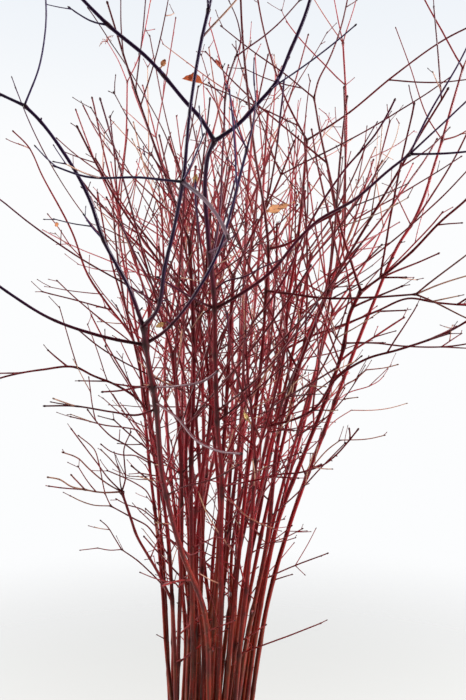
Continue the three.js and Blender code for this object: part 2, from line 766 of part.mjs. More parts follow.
// A cane of the rule divides in two at its top, and each arm carries a twig.
function growFork(cane) {
  const draw = dice(500 + cane);
  const stalk = canes[cane][0];
  const turn = draw(0, Math.PI);
  const top = stalk.points[stalk.points.length - 1].z;
  const girth = 2 * stalk.radii[stalk.radii.length - 1];
  for (const side of [0, Math.PI]) {
    const length = Math.min(draw(...armLength), crownHeight - top);
    const plan = { turn: turn + side, spread: draw(...armSpread), length, steps: 3, lift: draw(...armLift) };
    const arm = growSide(cane, stalk, 1, girth * draw(...armShare), 1, plan, draw);
    if (!arm) continue;
    const twig = {
      turn: draw(0, 2 * Math.PI),
      spread: draw(...armTwigSpread),
      length: length * armTwigShare,
      steps: 2,
      lift: armTwigLift,
    };
    growSide(cane, arm, draw(0.35, 0.7), armTwigGirth, 2, twig, draw);
  }
}

const mix = ([low, high], share) => low + (high - low) * share;

// Side branches in turn round a cane, from just over the mouth to its top. The low ones
// are short and sink towards level, the high ones bend upwards.
function growLongShoots(cane) {
  const draw = dice(900 + cane);
  const stalk = canes[cane][0];
  const foot = stalk.points[0].z;
  const reach = stalk.points[stalk.points.length - 1].z - foot;
  const lowest = (lowestShoot - foot) / reach;
  const turn = draw(0, 2 * Math.PI);
  for (let k = 0; k < longShoots; k++) {
    const rise = (k + draw(0.1, 0.9)) / longShoots;
    const length = mix(shootLength, rise * draw(0.5, 1));
    const plan = {
      turn: turn + k * goldenTurn,
      spread: mix(shootSpread, rise) + draw(-0.15, 0.15),
      length,
      steps: length > longTwig ? 3 : 2,
      lift: mix(shootLift, rise) + draw(-0.08, 0.08),
    };
    growSide(cane, stalk, mix([lowest, 0.97], rise), draw(...shootGirth), 1, plan, draw);
  }
}

// The dried leaves that still hang on: the spot where the stalk leaves its twig, the way
// that the blade runs from there and the side that its face turns to, its length and
// width, how far it is curled from stalk to tip, how far each half is folded up from
// the rib, and its colour.
const facing = [0.15, -0.97, 0.2];
const leafPlans = [
  {
    spot: [12, -279, 1467], heading: [-1, -0.02, 0.06], face: [0.05, -0.25, 1],
    length: 37, width: 26, curl: 0.25, fold: 1.25, colour: 0xa04a22,
  },
  {
    spot: [146, -113, 1345], heading: [-0.89, -0.1, -0.42], face: facing,
    length: 62, width: 19, curl: 0.45, fold: 0.25, colour: 0xc98a5c,
  },
  {
    spot: [-41, -421, 1431], heading: [-0.3, -0.5, 0.8], face: facing,
    length: 11, width: 7, curl: 0.6, fold: 0.3, colour: 0xc9936c,
  },
  {
    spot: [30, -265, 1497], heading: [-0.5, 0, 0.87], face: facing,
    length: 16, width: 8, curl: 0.9, fold: 0.6, colour: 0x86401f,
  },
  {
    spot: [-261, -20, 1324], heading: [-0.55, -0.4, 0.75], face: facing,
    length: 17, width: 9, curl: 0.8, fold: 0.4, colour: 0xa9714c,
  },
  {
    spot: [-20, -60, 1392], heading: [-0.2, 0, 1], face: facing,
    length: 22, width: 10, curl: 0.8, fold: 0.3, colour: 0xa3924d,
  },
  {
    spot: [-35, -389, 1141], heading: [-0.85, -0.3, 0.2], face: facing,
    length: 14, width: 7, curl: 0.6, fold: 0.3, colour: 0xa8a070,
  },
  {
    spot: [72, -136, 991], heading: [-0.55, -0.2, 0.8], face: facing,
    length: 27, width: 8, curl: 0.8, fold: 0.5, colour: 0xb0a35c,
  },
];
const leafThick = 0.7;
const stalkShare = 0.24; // of a leaf's length
const stalkWidth = 1.5;
const leafLeaves = 0.5; // sine of the least angle between a leaf and its twig
const leafStrays = 0.02; // how far a leaf turns off its heading with each new attempt

// The shoot that passes nearest to a leaf's spot as seen from the front.
function carrierOf(spot) {
  let best = null;
  canes.forEach((grown, cane) => {
    for (const carrier of grown.filter((g) => g.order > 0)) {
      for (let share = 0.3; share < 0.95; share += 0.05) {
        const { point } = pointAt(carrier, share);
        const off = Math.hypot(point.x - spot.x, 0.15 * (point.y - spot.y), point.z - spot.z);
        if (!best || off < best.off) best = { off, cane, carrier, share };
      }
    }
  });
  return best;
}

// Half the width of a leaf at a share of its length from the twig.
function leafHalf(plan, share) {
  const blade = (share - stalkShare) / (1 - stalkShare);
  const wide = blade > 0 ? Math.sin(Math.PI * Math.pow(Math.min(blade, 1), 0.8)) : 0;
  return stalkWidth / 2 + Math.max(wide, 0) * (plan.width / 2 - stalkWidth / 2);
}

// The middle of a curled leaf at a share of its length: along its heading and above it.
function leafMiddle(plan, share) {
  const turn = plan.curl * share;
  const bend = plan.length / plan.curl;
  return [bend * Math.sin(turn), bend * (1 - Math.cos(turn))];
}

// Where each leaf hangs: a point just off its twig and the directions of its blade.
const leaves = [];

function hangLeaf(plan, index) {
  const draw = dice(1300 + index);
  const { cane, carrier, share } = carrierOf(at(...plan.spot));
  for (let attempt = 0; attempt < 200; attempt++) {
    const { point, along, radius } = pointAt(carrier, Math.max(share - 0.002 * attempt, 0.2));
    const stray = leafStrays * attempt;
    const strayed = at(draw(-stray, stray), draw(-stray, stray), draw(-stray, stray));
    const heading = at(...plan.heading).add(strayed).normalize();
    const away = heading.clone().addScaledVector(along, -along.dot(heading));
    if (away.length() < leafLeaves) continue;
    const side = heading.clone().cross(at(...plan.face)).normalize();
    const above = side.clone().cross(heading);
    const root = point.clone().addScaledVector(away.normalize(), radius + fit);
    const spine = [];
    const radii = [];
    for (let k = 0; k <= 5; k++) {
      const [ahead, over] = leafMiddle(plan, k / 5);
      spine.push(root.clone().addScaledVector(heading, ahead).addScaledVector(above, over));
      radii.push(k === 0 ? 0 : leafHalf(plan, k / 5) + 0.5);
    }
    // The stalk itself only has to clear the other canes, the blade the leaf's own too.
    if (isClear(spine, radii, cane) && isClear(spine.slice(2), radii.slice(2), -1)) {
      settle(spine, radii, -1);
      leaves.push({ plan, root, heading, side, above });
      return;
    }
  }
  throw new Error(`leaf ${index + 1} finds no room`);
}

function growBundle() {
  const first = leadingCanes.length;
  plantLeadingCanes();
  for (let cane = first; cane < caneCount; cane++) plantByRule(cane);
  leadingCanes.forEach((plan, cane) => growPlanned(cane, canes[cane][0], plan.sides, 1));
  for (let cane = first; cane < caneCount; cane++) growFork(cane);
  leafPlans.forEach(hangLeaf);
  for (let cane = first; cane < caneCount; cane++) growLongShoots(cane);
}

// A closed tapering tube: a cylinder whose rows of points are carried onto the route.
// The middle of its end cap stands out a little, as a bud does.
function tube(points, radii, sides, widen = 0) {
  const rows = points.length - 1;
  const geometry = new THREE.CylinderGeometry(1, 1, 1, sides, rows);
  const place = geometry.getAttribute('position');
  const whole = points[rows].clone().sub(points[0]).normalize();
  const guide = Math.abs(whole.x) < 0.7 ? at(1, 0, 0) : at(0, 1, 0);
  for (let i = 0; i < place.count; i++) {
    const row = Math.round((place.getY(i) + 0.5) * rows);
    const before = points[Math.max(row - 1, 0)];
    const after = points[Math.min(row + 1, rows)];
    const along = after.clone().sub(before).normalize();
    const across = guide.clone().addScaledVector(along, -guide.dot(along)).normalize();
    const other = across.clone().cross(along);
    const radius = radii[row] + widen;
    const onAxis = Math.hypot(place.getX(i), place.getZ(i)) < 0.5;
    const spot = points[row].clone();
    if (onAxis && row === rows) spot.addScaledVector(along, radius * 1.5);
    spot.addScaledVector(across, place.getX(i) * radius).addScaledVector(other, place.getZ(i) * radius);
    place.setXYZ(i, spot.x, spot.y, spot.z);
  }
  return geometry;
}

function solidOf(geometry) {
  const bare = geometry.clone();
  bare.deleteAttribute('normal');
  bare.deleteAttribute('uv');
  const merged = mergeVertices(bare, 1e-4);
  return new wasm.Manifold(
    new wasm.Mesh({
      numProp: 3,
      vertProperties: new Float32Array(merged.getAttribute('position').array),
      triVerts: new Uint32Array(merged.index.array),
    }),
  );
}

function geometryOf(solid) {
  const { vertProperties, triVerts } = solid.getMesh();
  return new THREE.BufferGeometry()
    .setAttribute('position', new THREE.BufferAttribute(vertProperties, 3))
    .setIndex(new THREE.BufferAttribute(triVerts, 1));
}

const sidesOf = ({ order, radii }) => {
  if (order === 0) return caneSides;
  return 2 * radii[0] >= stoutBranch ? branchSides : twigSides;
};

function caneSolid(grown) {
  return grown
    .map((g) => solidOf(tube(g.points, g.radii, sidesOf(g))))
    .reduce((whole, part) => whole.add(part));
}

// The vase's outer radius at a height, and its profile from the axis round to the axis.
const vaseRadius = (z) => {
  const share = z / vaseHeight;
  return vaseFootRadius + (vaseMouthRadius - vaseFootRadius) * share + vaseBelly * Math.sin(Math.PI * share);
};

function vaseProfile() {
  const lip = vaseWall / 2;
  const lipHeight = vaseHeight - lip;
  const profile = [[0, 0], [vaseFootRadius - footBevel, 0]];
  for (let k = 0; k <= vaseRows; k++) {
    const z = footBevel + ((lipHeight - footBevel) * k) / vaseRows;
    profile.push([vaseRadius(z), z]);
  }
  for (const turn of [45, 90, 135]) {
    const angle = THREE.MathUtils.degToRad(turn);
    profile.push([vaseRadius(lipHeight) - lip + lip * Math.cos(angle), lipHeight + lip * Math.sin(angle)]);
  }
  for (const [radius, z] of innerRows(0).reverse()) profile.push([radius, z]);
  profile.push([0, vaseFloor]);
  return profile.map(([x, y]) => new THREE.Vector2(x, y));
}

// The straight runs of the vase's inside from its floor to its lip, `clear` away from it.
function innerRows(clear) {
  const rows = [];
  for (let k = 0; k <= vaseRows; k++) {
    const z = vaseFloor + ((vaseHeight - vaseWall / 2 - vaseFloor) * k) / vaseRows;
    rows.push([vaseRadius(z) - vaseWall - clear, z]);
  }
  return rows;
}

// A profile turned round +Z.
const turned = (profile) => new THREE.LatheGeometry(profile, vaseSides).rotateX(Math.PI / 2);

function waterProfile() {
  const rows = innerRows(fit);
  const under = rows.filter(([, z]) => z < waterLevel);
  const [low, high] = [rows[under.length - 1], rows[under.length]];
  const share = (waterLevel - low[1]) / (high[1] - low[1]);
  const surface = [low[0] + (high[0] - low[0]) * share, waterLevel];
  const bottom = vaseFloor + fit;
  const side = [[under[0][0], bottom], ...under.slice(1), surface];
  const profile = [[0, bottom], ...side, [0, waterLevel]];
  return profile.map(([x, y]) => new THREE.Vector2(x, y));
}

// The water, with a plain hole for each cane that stands in it.
function waterSolid() {
  let water = solidOf(turned(waterProfile()));
  for (const grown of canes) {
    const { points, radii } = grown[0];
    const below = points[0].clone().sub(points[1]).normalize().multiplyScalar(4).add(points[0]);
    water = water.subtract(solidOf(tube([below, points[1]], [radii[0], radii[1]], caneSides, holeFit)));
  }
  return water;
}

// A leaf: a thin box of a few rows, carried onto its curled and folded blade.
function leafGeometry({ plan, root, heading, side, above }) {
  const rows = 5;
  const geometry = new THREE.BoxGeometry(2, 1, 1, 2, rows, 1);
  const place = geometry.getAttribute('position');
  for (let i = 0; i < place.count; i++) {
    const share = place.getY(i) + 0.5;
    const [ahead, over] = leafMiddle(plan, share);
    const blade = leafHalf(plan, share) - stalkWidth / 2;
    const out = stalkWidth / 2 + blade * Math.cos(plan.fold);
    const turn = plan.curl * share;
    const raised = Math.abs(place.getX(i)) * blade * Math.sin(plan.fold) + place.getZ(i) * leafThick;
    const spot = root.clone();
    spot.addScaledVector(side, place.getX(i) * out);
    spot.addScaledVector(heading, ahead - raised * Math.sin(turn));
    spot.addScaledVector(above, over + raised * Math.cos(turn));
    place.setXYZ(i, spot.x, spot.y, spot.z);
  }
  return geometry;
}

const barkReds = [0x8e1f22, 0x7a1a20, 0x9a2a26, 0x6d1d1c, 0x842428];

const barkOf = (cane) =>
  new THREE.MeshStandardMaterial({ color: barkReds[cane % barkReds.length], roughness: 0.45, metalness: 0 });

function piece(name, geometry, material) {
  const mesh = new THREE.Mesh(geometry, material);
  mesh.name = name;
  return mesh;
}

growBundle();

const glaze = new THREE.MeshStandardMaterial({ color: 0xd9d5cc, roughness: 0.35, metalness: 0 });
const clearWater = new THREE.MeshStandardMaterial({
  color: 0xb9c6c4,
  roughness: 0.05,
  metalness: 0,
  transparent: true,
  opacity: 0.5,
});

const part = new THREE.Group();
part.add(piece('vase', turned(vaseProfile()), glaze));
part.add(piece('water', geometryOf(waterSolid()), clearWater));
canes.forEach((grown, cane) => {
  const name = `cane_${String(cane + 1).padStart(2, '0')}`;
  part.add(piece(name, geometryOf(caneSolid(grown)), barkOf(cane)));
});
leaves.forEach((leaf, index) => {
  const dry = new THREE.MeshStandardMaterial({ color: leaf.plan.colour, roughness: 0.8, metalness: 0 });
  part.add(piece(`leaf_${index + 1}`, geometryOf(solidOf(leafGeometry(leaf))), dry));
});

export default part;
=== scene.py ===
import itertools
import math

import bmesh
import bpy
import numpy as np
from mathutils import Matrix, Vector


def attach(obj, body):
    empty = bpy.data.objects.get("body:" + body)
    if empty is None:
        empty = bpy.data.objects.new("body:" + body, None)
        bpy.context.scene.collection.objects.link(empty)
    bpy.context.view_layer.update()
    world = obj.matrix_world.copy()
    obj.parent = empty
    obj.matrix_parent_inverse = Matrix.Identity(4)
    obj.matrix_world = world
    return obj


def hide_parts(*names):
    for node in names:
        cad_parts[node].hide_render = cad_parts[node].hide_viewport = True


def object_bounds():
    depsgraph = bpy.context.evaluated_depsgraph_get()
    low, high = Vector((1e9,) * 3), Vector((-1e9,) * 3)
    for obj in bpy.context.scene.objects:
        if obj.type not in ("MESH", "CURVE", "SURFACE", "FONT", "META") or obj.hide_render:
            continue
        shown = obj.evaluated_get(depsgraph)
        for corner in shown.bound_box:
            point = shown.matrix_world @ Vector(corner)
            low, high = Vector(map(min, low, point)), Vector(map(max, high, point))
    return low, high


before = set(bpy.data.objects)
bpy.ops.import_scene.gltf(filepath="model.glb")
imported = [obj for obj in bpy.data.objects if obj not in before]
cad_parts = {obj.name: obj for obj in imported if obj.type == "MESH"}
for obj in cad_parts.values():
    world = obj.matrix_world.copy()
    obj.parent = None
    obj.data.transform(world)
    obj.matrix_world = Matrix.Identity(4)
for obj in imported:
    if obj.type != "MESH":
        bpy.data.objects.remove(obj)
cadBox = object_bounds()
print("frame loaded:", len(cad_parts), "solids")

# The bundle grows by the same rule as its solids, in millimetres, with the z axis up.
bundle = {
    "caneCount": 38,
    "radius": 70,  # from the axis to the middle of the outermost canes, at the mouth
    "footShare": 0.74,  # the cut feet stand this much closer together
    "footHeight": 12.6,
    "mouthHeight": 450,
    "girth": (8.2, 10.8),
    "taper": 0.0006,
    "leanLeast": 0.02,
    "leanMost": 0.29,
    "leanVaries": 0.045,
    "leanLeftShare": 0.5,
    "leanTurns": 0.9,
    "leanAtMouth": 0.2,
    "leanSettles": 400,
    "driftRight": 0.05,
    "sway": (7, 24),
    "swayWave": (420, 820),
    "straightRun": 130,
    "caneRun": 190,
    "forkHeights": (980, 1480),
    "leanLowersFork": 300,
    "crownHeight": 1880,
    "headRoom": 1.2,
    "goldenTurn": 2.4,
    "wander": 0.07,
    "tipShare": 0.68,
    "turnVaries": 0.5,
    "turnWidens": 40,  # tries in which that range doubles
    "caneTries": 600,
    # steps aside in depth, tried in this order where another cane is in the way
    "detours": (0, -6, 6, -12, 12, -18, 18, -26, 26, -34, 34, -44, 44),
}
arms = {
    "length": (200, 390),
    "spread": (0.2, 0.52),
    "lift": (0.02, 0.14),
    "share": (0.6, 0.8),
    "twigGirth": 2.4,
    "twigSpread": (0.45, 0.75),
    "twigShare": 0.42,
    "twigLift": 0.08,
    "twigAt": (0.35, 0.7),
    "steps": 3,
    "twigSteps": 2,
}
sideBranches = {
    "count": 3,
    "girth": (2.3, 3.6),
    "length": (120, 330),
    "spread": (1, 0.65),
    "lift": (-0.06, 0.18),
    "lowest": 530,
    "highest": 0.97,  # share of the stalk
    "longOver": 170,
    "place": (0.1, 0.9),
    "lengthShare": (0.5, 1),
    "spreadVaries": 0.15,
    "liftVaries": 0.08,
}
sideRule = {
    "tries": 8,
    "thickest": 1.9,  # radii of the carrier
    "setBack": 0.5,  # radii of the carrier, from the fork down to the root
    "turnVaries": 0.12,  # and as much again with each try
    "spreadVaries": 0.08,
    "spreadWidens": 0.6,
    "shortens": 0.07,
}
seeds = {"fork": 500, "side": 900, "leaf": 1300, "bark": 2000, "flower": 2900, "blade": 3000}


def plus(a, b, times=1.0):
    return (a[0] + b[0] * times, a[1] + b[1] * times, a[2] + b[2] * times)


def minus(a, b):
    return (a[0] - b[0], a[1] - b[1], a[2] - b[2])


def timesOf(a, times):
    return (a[0] * times, a[1] * times, a[2] * times)


def dot(a, b):
    return a[0] * b[0] + a[1] * b[1] + a[2] * b[2]


def cross(a, b):
    return (a[1] * b[2] - a[2] * b[1], a[2] * b[0] - a[0] * b[2], a[0] * b[1] - a[1] * b[0])


def sizeOf(a):
    return math.sqrt(dot(a, a))


def unit(a):
    return timesOf(a, 1 / (sizeOf(a) or 1))


def mix(pair, share):
    return pair[0] + (pair[1] - pair[0]) * share


def clamp(value):
    return min(max(value, 0.0), 1.0)


def dice(seed):
    state = seed * 7919 + 17

    def draw(low=0.0, high=1.0):
        nonlocal state
        state = state * 16807 % 2147483647
        return low + (high - low) * state / 2147483647

    return draw


def either(draw, most):
    # up to most, either way
    return draw(-most, most)


def strayed(heading, draw, most):
    return unit(plus(heading, (either(draw, most), either(draw, most), either(draw, most))))


# A shoot: its diameters at root and tip, its route, and what grows on it. Bark with a pale over 0 gets a
# painted greyish pink sheen, a painted highlight of light from above; under 0 it is dried to tan.
def stem(girth, tip, route, *sides, pale=0.0):
    return {"girth": girth, "tip": tip, "route": [tuple(p) for p in route], "sides": sides, "pale": pale}


def shoot(girth, route, *sides):
    return stem(girth, girth * bundle["tipShare"], route, *sides)


# The thirteen leading canes, whose forks stand in front of or beside the others.
leadingCanes = [
    # Front left: three arms at one knot, the tallest nearest the viewer.
    stem(
        11, 6.8, [[4, -62, 522], [-3, -100, 687], [-36, -150, 798], [-57, -215, 920], [-59, -300, 1041],
                  [-63, -365, 1113], [-63, -385, 1136]],
        stem(4.8, 3, [[-63, -365, 1113], [-123, -375, 1126], [-175, -390, 1145], [-212, -400, 1169],
                      [-261, -410, 1209], [-294, -415, 1251]]),
        stem(
            5, 3.7, [[-63, -382, 1134], [-76, -400, 1176], [-104, -420, 1233], [-119, -430, 1280],
                     [-145, -440, 1328], [-172, -450, 1364], [-185, -452, 1376]],
            shoot(3.6, [[-185, -452, 1376], [-211, -455, 1388], [-258, -460, 1411], [-295, -462, 1449]]),
            shoot(2.6, [[-185, -452, 1376], [-168, -455, 1417], [-160, -460, 1455], [-159, -470, 1525]]),
            shoot(2.2, [[-104, -420, 1233], [-118, -418, 1249], [-129, -416, 1265]]),
        ),
        stem(
            4.9, 3.3, [[-63, -385, 1136], [-48, -395, 1150], [-33, -430, 1204], [-21, -450, 1243],
                       [-9, -480, 1285], [0, -505, 1352], [11, -520, 1408], [20, -530, 1443]],
            shoot(3, [[20, -530, 1443], [18, -535, 1464], [12, -540, 1505]]),
            shoot(3, [[20, -530, 1443], [27, -530, 1466], [37, -530, 1516]]),
            shoot(3, [[-9, -480, 1285], [-50, -490, 1287], [-111, -495, 1287], [-142, -500, 1297]]),
            stem(4.8, 3.4, [[-9, -480, 1285], [16, -520, 1257], [30, -550, 1233],
                            [40, -575, 1209]], pale=0.9),
            shoot(2.6, [[-9, -480, 1285], [1, -500, 1297], [16, -530, 1321]]),
        ),
        shoot(
            4.6, [[-63, -367, 1115], [-45, -371, 1125], [-25, -378, 1143], [-5, -385, 1169],
                  [29, -400, 1229], [42, -410, 1270], [52, -415, 1308], [60, -420, 1337]],
            shoot(2.6, [[60, -420, 1337], [66, -424, 1359], [70, -428, 1387], [68, -430, 1409]]),
            shoot(2.2, [[60, -420, 1337], [49, -425, 1361], [43, -430, 1379]]),
            stem(1.6, 1.5, [[-31, -376, 1138], [-33, -384, 1140], [-36, -390, 1141]]),
        ),
        stem(3.6, 2.8, [[-57, -298, 1038], [-26, -340, 1022], [3, -380, 997], [29, -410, 990],
                        [57, -440, 991]], pale=0.7),
        stem(2.6, 2.2, [[-52, -200, 893], [-19, -222, 912], [3, -232, 919], [23, -240, 928],
                        [54, -250, 948]]),
        stem(3.7, 2.6, [[-58, -315, 1060], [-25, -350, 1063], [14, -380, 1073], [29, -390, 1084]], pale=0.8),
        stem(
            3.2, 2.2, [[-58, -315, 1060], [-75, -330, 1061], [-106, -345, 1066]],
            stem(2.6, 2, [[-75, -330, 1061], [-98, -345, 1057], [-120, -355, 1056]]),
        ),
        shoot(
            3.2, [[-58, -290, 1028], [-82, -300, 1021], [-113, -310, 1026], [-161, -322, 1035],
                  [-198, -332, 1036]],
            shoot(1.9, [[-157, -322, 1034], [-191, -328, 1041]]),
        ),
    ),
    # Front middle: upright, ending in a wide fork.
    stem(
        11, 5.3, [[18, -40, 510], [24, -75, 694], [25, -110, 827], [27, -140, 905], [20, -190, 1003],
                  [19, -245, 1114], [19, -270, 1163], [12, -328, 1254], [11, -370, 1325], [15, -384, 1344],
                  [22, -392, 1355]],
        stem(
            4.9, 3.6, [[22, -392, 1355], [6, -400, 1380], [-13, -405, 1399], [-29, -408, 1417],
                       [-52, -415, 1441], [-98, -425, 1477], [-160, -440, 1543], [-187, -445, 1590]],
            shoot(2.6, [[-98, -425, 1477], [-113, -428, 1479], [-143, -432, 1495]]),
            stem(1.7, 1.5, [[-37, -411, 1425], [-39, -417, 1429], [-41, -421, 1431]]),
        ),
        stem(4.8, 3.6, [[22, -392, 1355], [49, -400, 1371], [72, -405, 1394], [96, -412, 1421],
                        [109, -418, 1449], [125, -425, 1485], [147, -440, 1565]]),
        stem(
            5, 3.5, [[19, -270, 1163], [44, -280, 1176], [97, -290, 1214], [129, -300, 1252],
                     [153, -305, 1275], [202, -320, 1302], [242, -335, 1335], [266, -345, 1353]],
            shoot(3.2, [[266, -345, 1353], [304, -350, 1352], [376, -355, 1358]]),
            shoot(3, [[266, -345, 1353], [290, -350, 1404], [323, -360, 1462], [353, -365, 1524]]),
            shoot(3, [[266, -345, 1353], [302, -345, 1386], [337, -345, 1420], [386, -345, 1465]]),
        ),
        shoot(3.6, [[19, -270, 1163], [-11, -285, 1178], [-57, -305, 1204]]),
        shoot(3, [[20, -188, 1001], [43, -200, 1019], [83, -215, 1055], [118, -225, 1086]]),
        stem(4.2, 3.2, [[13, -315, 1234], [29, -360, 1235], [39, -400, 1239]], pale=0.6),
        stem(
            3.2, 2.5, [[15, -305, 1217], [22, -300, 1252], [27, -292, 1300], [29, -285, 1349],
                       [32, -278, 1405], [34, -272, 1452], [41, -268, 1488], [48, -265, 1510]],
            stem(2.3, 1.9, [[48, -265, 1510], [55, -262, 1531], [52, -258, 1557], [38, -250, 1596]]),
            stem(2.3, 1.9, [[48, -265, 1510], [63, -262, 1522], [84, -258, 1539], [109, -254, 1563],
                            [138, -250, 1596]]),
            stem(1.8, 1.6, [[34, -272, 1449], [24, -275, 1459], [10, -279, 1470]]),
            stem(1.7, 1.5, [[36, -271, 1456], [34, -268, 1477], [30, -265, 1499]]),
        ),
        stem(
            3.2, 2.6, [[27, -137, 893], [55, -178, 906], [95, -186, 916], [115, -190, 922], [142, -194, 925],
                       [163, -196, 931], [181, -198, 939], [196, -198, 951], [217, -196, 974],
                       [231, -194, 991]],
            stem(2.4, 2.2, [[217, -196, 974], [217, -198, 983], [215, -200, 993]]),
        ),
        stem(2.6, 2.1, [[17, -285, 1186], [34, -292, 1198], [59, -296, 1204], [80, -300, 1215],
                        [110, -304, 1227]]),
        stem(2.8, 2.2, [[20, -238, 1100], [27, -250, 1121], [37, -256, 1143], [46, -260, 1161],
                        [60, -268, 1197]]),
        stem(2.8, 2.2, [[27, -131, 880], [52, -152, 864], [61, -160, 856], [83, -168, 845],
                        [108, -174, 836]]),
        shoot(
            4, [[20, -216, 1056], [43, -225, 1096], [65, -235, 1130], [72, -240, 1146]],
            shoot(
                3.6, [[72, -240, 1146], [96, -250, 1175], [120, -255, 1214], [141, -260, 1263],
                      [196, -270, 1352], [237, -280, 1399], [262, -290, 1444]],
                shoot(2, [[214, -275, 1375], [238, -285, 1416]]),
            ),
            shoot(2.6, [[72, -240, 1146], [66, -245, 1177], [54, -250, 1230]]),
        ),
    ),
    # Right, the first of the leaning pair.
    stem(
        10.8, 5.7, [[68, -20, 500], [93, -40, 681], [118, -60, 814], [161, -80, 936], [198, -100, 1039],
                    [220, -110, 1107], [230, -120, 1166], [246, -125, 1200]],
        stem(
            4.7, 2.9, [[246, -125, 1200], [231, -130, 1242], [211, -135, 1304], [197, -140, 1369],
                       [182, -145, 1431], [169, -150, 1496]],
            shoot(2.7, [[169, -150, 1496], [135, -155, 1522], [67, -160, 1569], [24, -165, 1601]]),
            shoot(2.8, [[169, -150, 1496], [177, -150, 1525], [191, -150, 1553], [209, -150, 1601],
                        [232, -150, 1709]]),
        ),
        stem(4.3, 3.4, [[246, -125, 1200], [276, -140, 1221], [317, -155, 1257], [359, -170, 1302],
                        [393, -180, 1332], [440, -190, 1389]]),
        shoot(3.4, [[222, -112, 1118], [268, -120, 1118], [313, -130, 1113], [403, -150, 1116],
                    [452, -160, 1130]]),
        stem(2.9, 2.4, [[221, -111, 1111], [196, -134, 1140], [163, -150, 1163], [137, -162, 1177],
                        [115, -170, 1189]]),
        stem(2.8, 2.2, [[204, -103, 1058], [183, -126, 1087], [166, -136, 1111], [156, -142, 1130],
                        [138, -148, 1148]]),
        stem(2.4, 2, [[195, -98, 1030], [163, -124, 1058], [144, -134, 1070], [117, -144, 1087]]),
    ),
    # Right, the second of the leaning pair and the farthest out.
    stem(
        11.2, 3.7, [[78, 10, 485], [106, 0, 666], [147, -10, 813], [198, -10, 951], [242, -10, 1069],
                    [291, -10, 1193], [338, -10, 1299], [355, -10, 1325], [401, -10, 1446], [429, -10, 1542],
                    [446, -10, 1600]],
        shoot(3, [[446, -10, 1600], [407, -12, 1666], [378, -15, 1716], [343, -18, 1793]]),
        shoot(3, [[446, -10, 1600], [472, -10, 1658], [510, -12, 1744]]),
        shoot(2.6, [[410, -10, 1474], [385, -15, 1509], [350, -22, 1600], [325, -25, 1665]]),
        shoot(3, [[410, -10, 1474], [433, -8, 1480], [478, -5, 1507]]),
        shoot(2.6, [[355, -10, 1325], [324, -14, 1384], [316, -15, 1396]]),
        stem(
            3, 2.3, [[223, -10, 1018], [238, -24, 1046], [253, -34, 1056], [270, -42, 1073]],
            stem(2.1, 1.8, [[270, -42, 1073], [303, -48, 1077], [324, -52, 1083]]),
        ),
        stem(2.3, 1.8, [[222, -10, 1016], [253, 14, 1032], [290, 24, 1043], [308, 30, 1052],
                        [318, 34, 1061]]),
        stem(
            2.5, 2, [[177, -10, 893], [212, -22, 937], [229, -30, 952]],
            stem(2, 1.6, [[229, -30, 952], [278, -36, 955], [305, -40, 962]]),
        ),
        stem(
            2.2, 1.9, [[201, -10, 960], [225, 10, 981], [256, 22, 999]],
            stem(1.7, 1.5, [[256, 22, 999], [286, 26, 998], [321, 30, 1001], [361, 34, 1011]]),
        ),
    ),
    # Right of the middle, with a long arm out to the right.
    stem(
        9.6, 4.4, [[42, 30, 474], [60, 0, 666], [94, -20, 847], [117, -40, 988], [131, -60, 1124],
                   [137, -75, 1200], [148, -90, 1272], [156, -110, 1363], [161, -120, 1440]],
        shoot(3.4, [[161, -120, 1440], [124, -125, 1510], [97, -130, 1591], [70, -140, 1730]]),
        stem(1.8, 1.6, [[154, -104, 1341], [148, -112, 1344], [144, -116, 1346]]),
        stem(3.3, 2.4, [[161, -120, 1440], [185, -125, 1453], [223, -130, 1478], [293, -135, 1534],
                        [368, -140, 1587], [456, -150, 1628]]),
        shoot(4.6, [[130, -58, 1107], [171, -80, 1128], [235, -110, 1152], [278, -130, 1170],
                    [326, -150, 1189], [362, -160, 1182], [448, -170, 1174]]),
    ),
    # Middle, with two arms reaching to the right in front of the leaning pair.
    stem(
        9.8, 3, [[32, -65, 523], [47, -80, 696], [63, -100, 865], [76, -120, 983], [89, -150, 1107],
                 [94, -175, 1197], [97, -190, 1257], [92, -200, 1302], [76, -210, 1389], [66, -220, 1471],
                 [57, -228, 1564], [54, -232, 1633]],
        stem(4.6, 3.8, [[97, -190, 1257], [121, -187, 1263], [144, -185, 1276], [171, -183, 1298],
                        [189, -182, 1307], [207, -180, 1317]]),
        stem(1.7, 1.5, [[76, -120, 983], [74, -130, 987], [71, -137, 992]]),
        stem(2.2, 1.8, [[92, -167, 1168], [86, -176, 1184], [69, -186, 1201], [57, -192, 1216],
                        [26, -202, 1250], [13, -208, 1266]]),
        shoot(4.6, [[76, -120, 983], [113, -150, 993], [142, -160, 1003], [166, -165, 1017],
                    [201, -175, 1066], [245, -180, 1094], [290, -185, 1107], [353, -190, 1129],
                    [436, -200, 1183]]),
        shoot(
            4.4, [[94, -175, 1196], [132, -190, 1190], [179, -200, 1183], [240, -205, 1184],
                  [310, -210, 1188]],
            shoot(3, [[310, -210, 1188], [345, -212, 1216], [381, -215, 1244], [429, -218, 1280]]),
            shoot(2.6, [[310, -210, 1188], [347, -205, 1203], [436, -200, 1230]]),
            shoot(3, [[310, -210, 1188], [331, -214, 1179], [380, -220, 1153], [427, -225, 1133]]),
        ),
    ),
    # Right, behind, straight and tall with a three-way tip.
    stem(
        9.8, 3.3, [[62, 30, 474], [84, 30, 619], [135, 40, 834], [185, 45, 1016], [222, 50, 1199],
                   [244, 50, 1327], [250, 50, 1438], [252, 50, 1548], [246, 50, 1671]],
        shoot(2.2, [[246, 50, 1671], [230, 50, 1750], [213, 50, 1833]]),
        shoot(2.2, [[246, 50, 1671], [196, 45, 1742], [166, 42, 1791]]),
        shoot(2.2, [[246, 50, 1671], [269, 55, 1747], [282, 58, 1809]]),
    ),
    # Far left, bowed outwards and thin at the tip.
    stem(
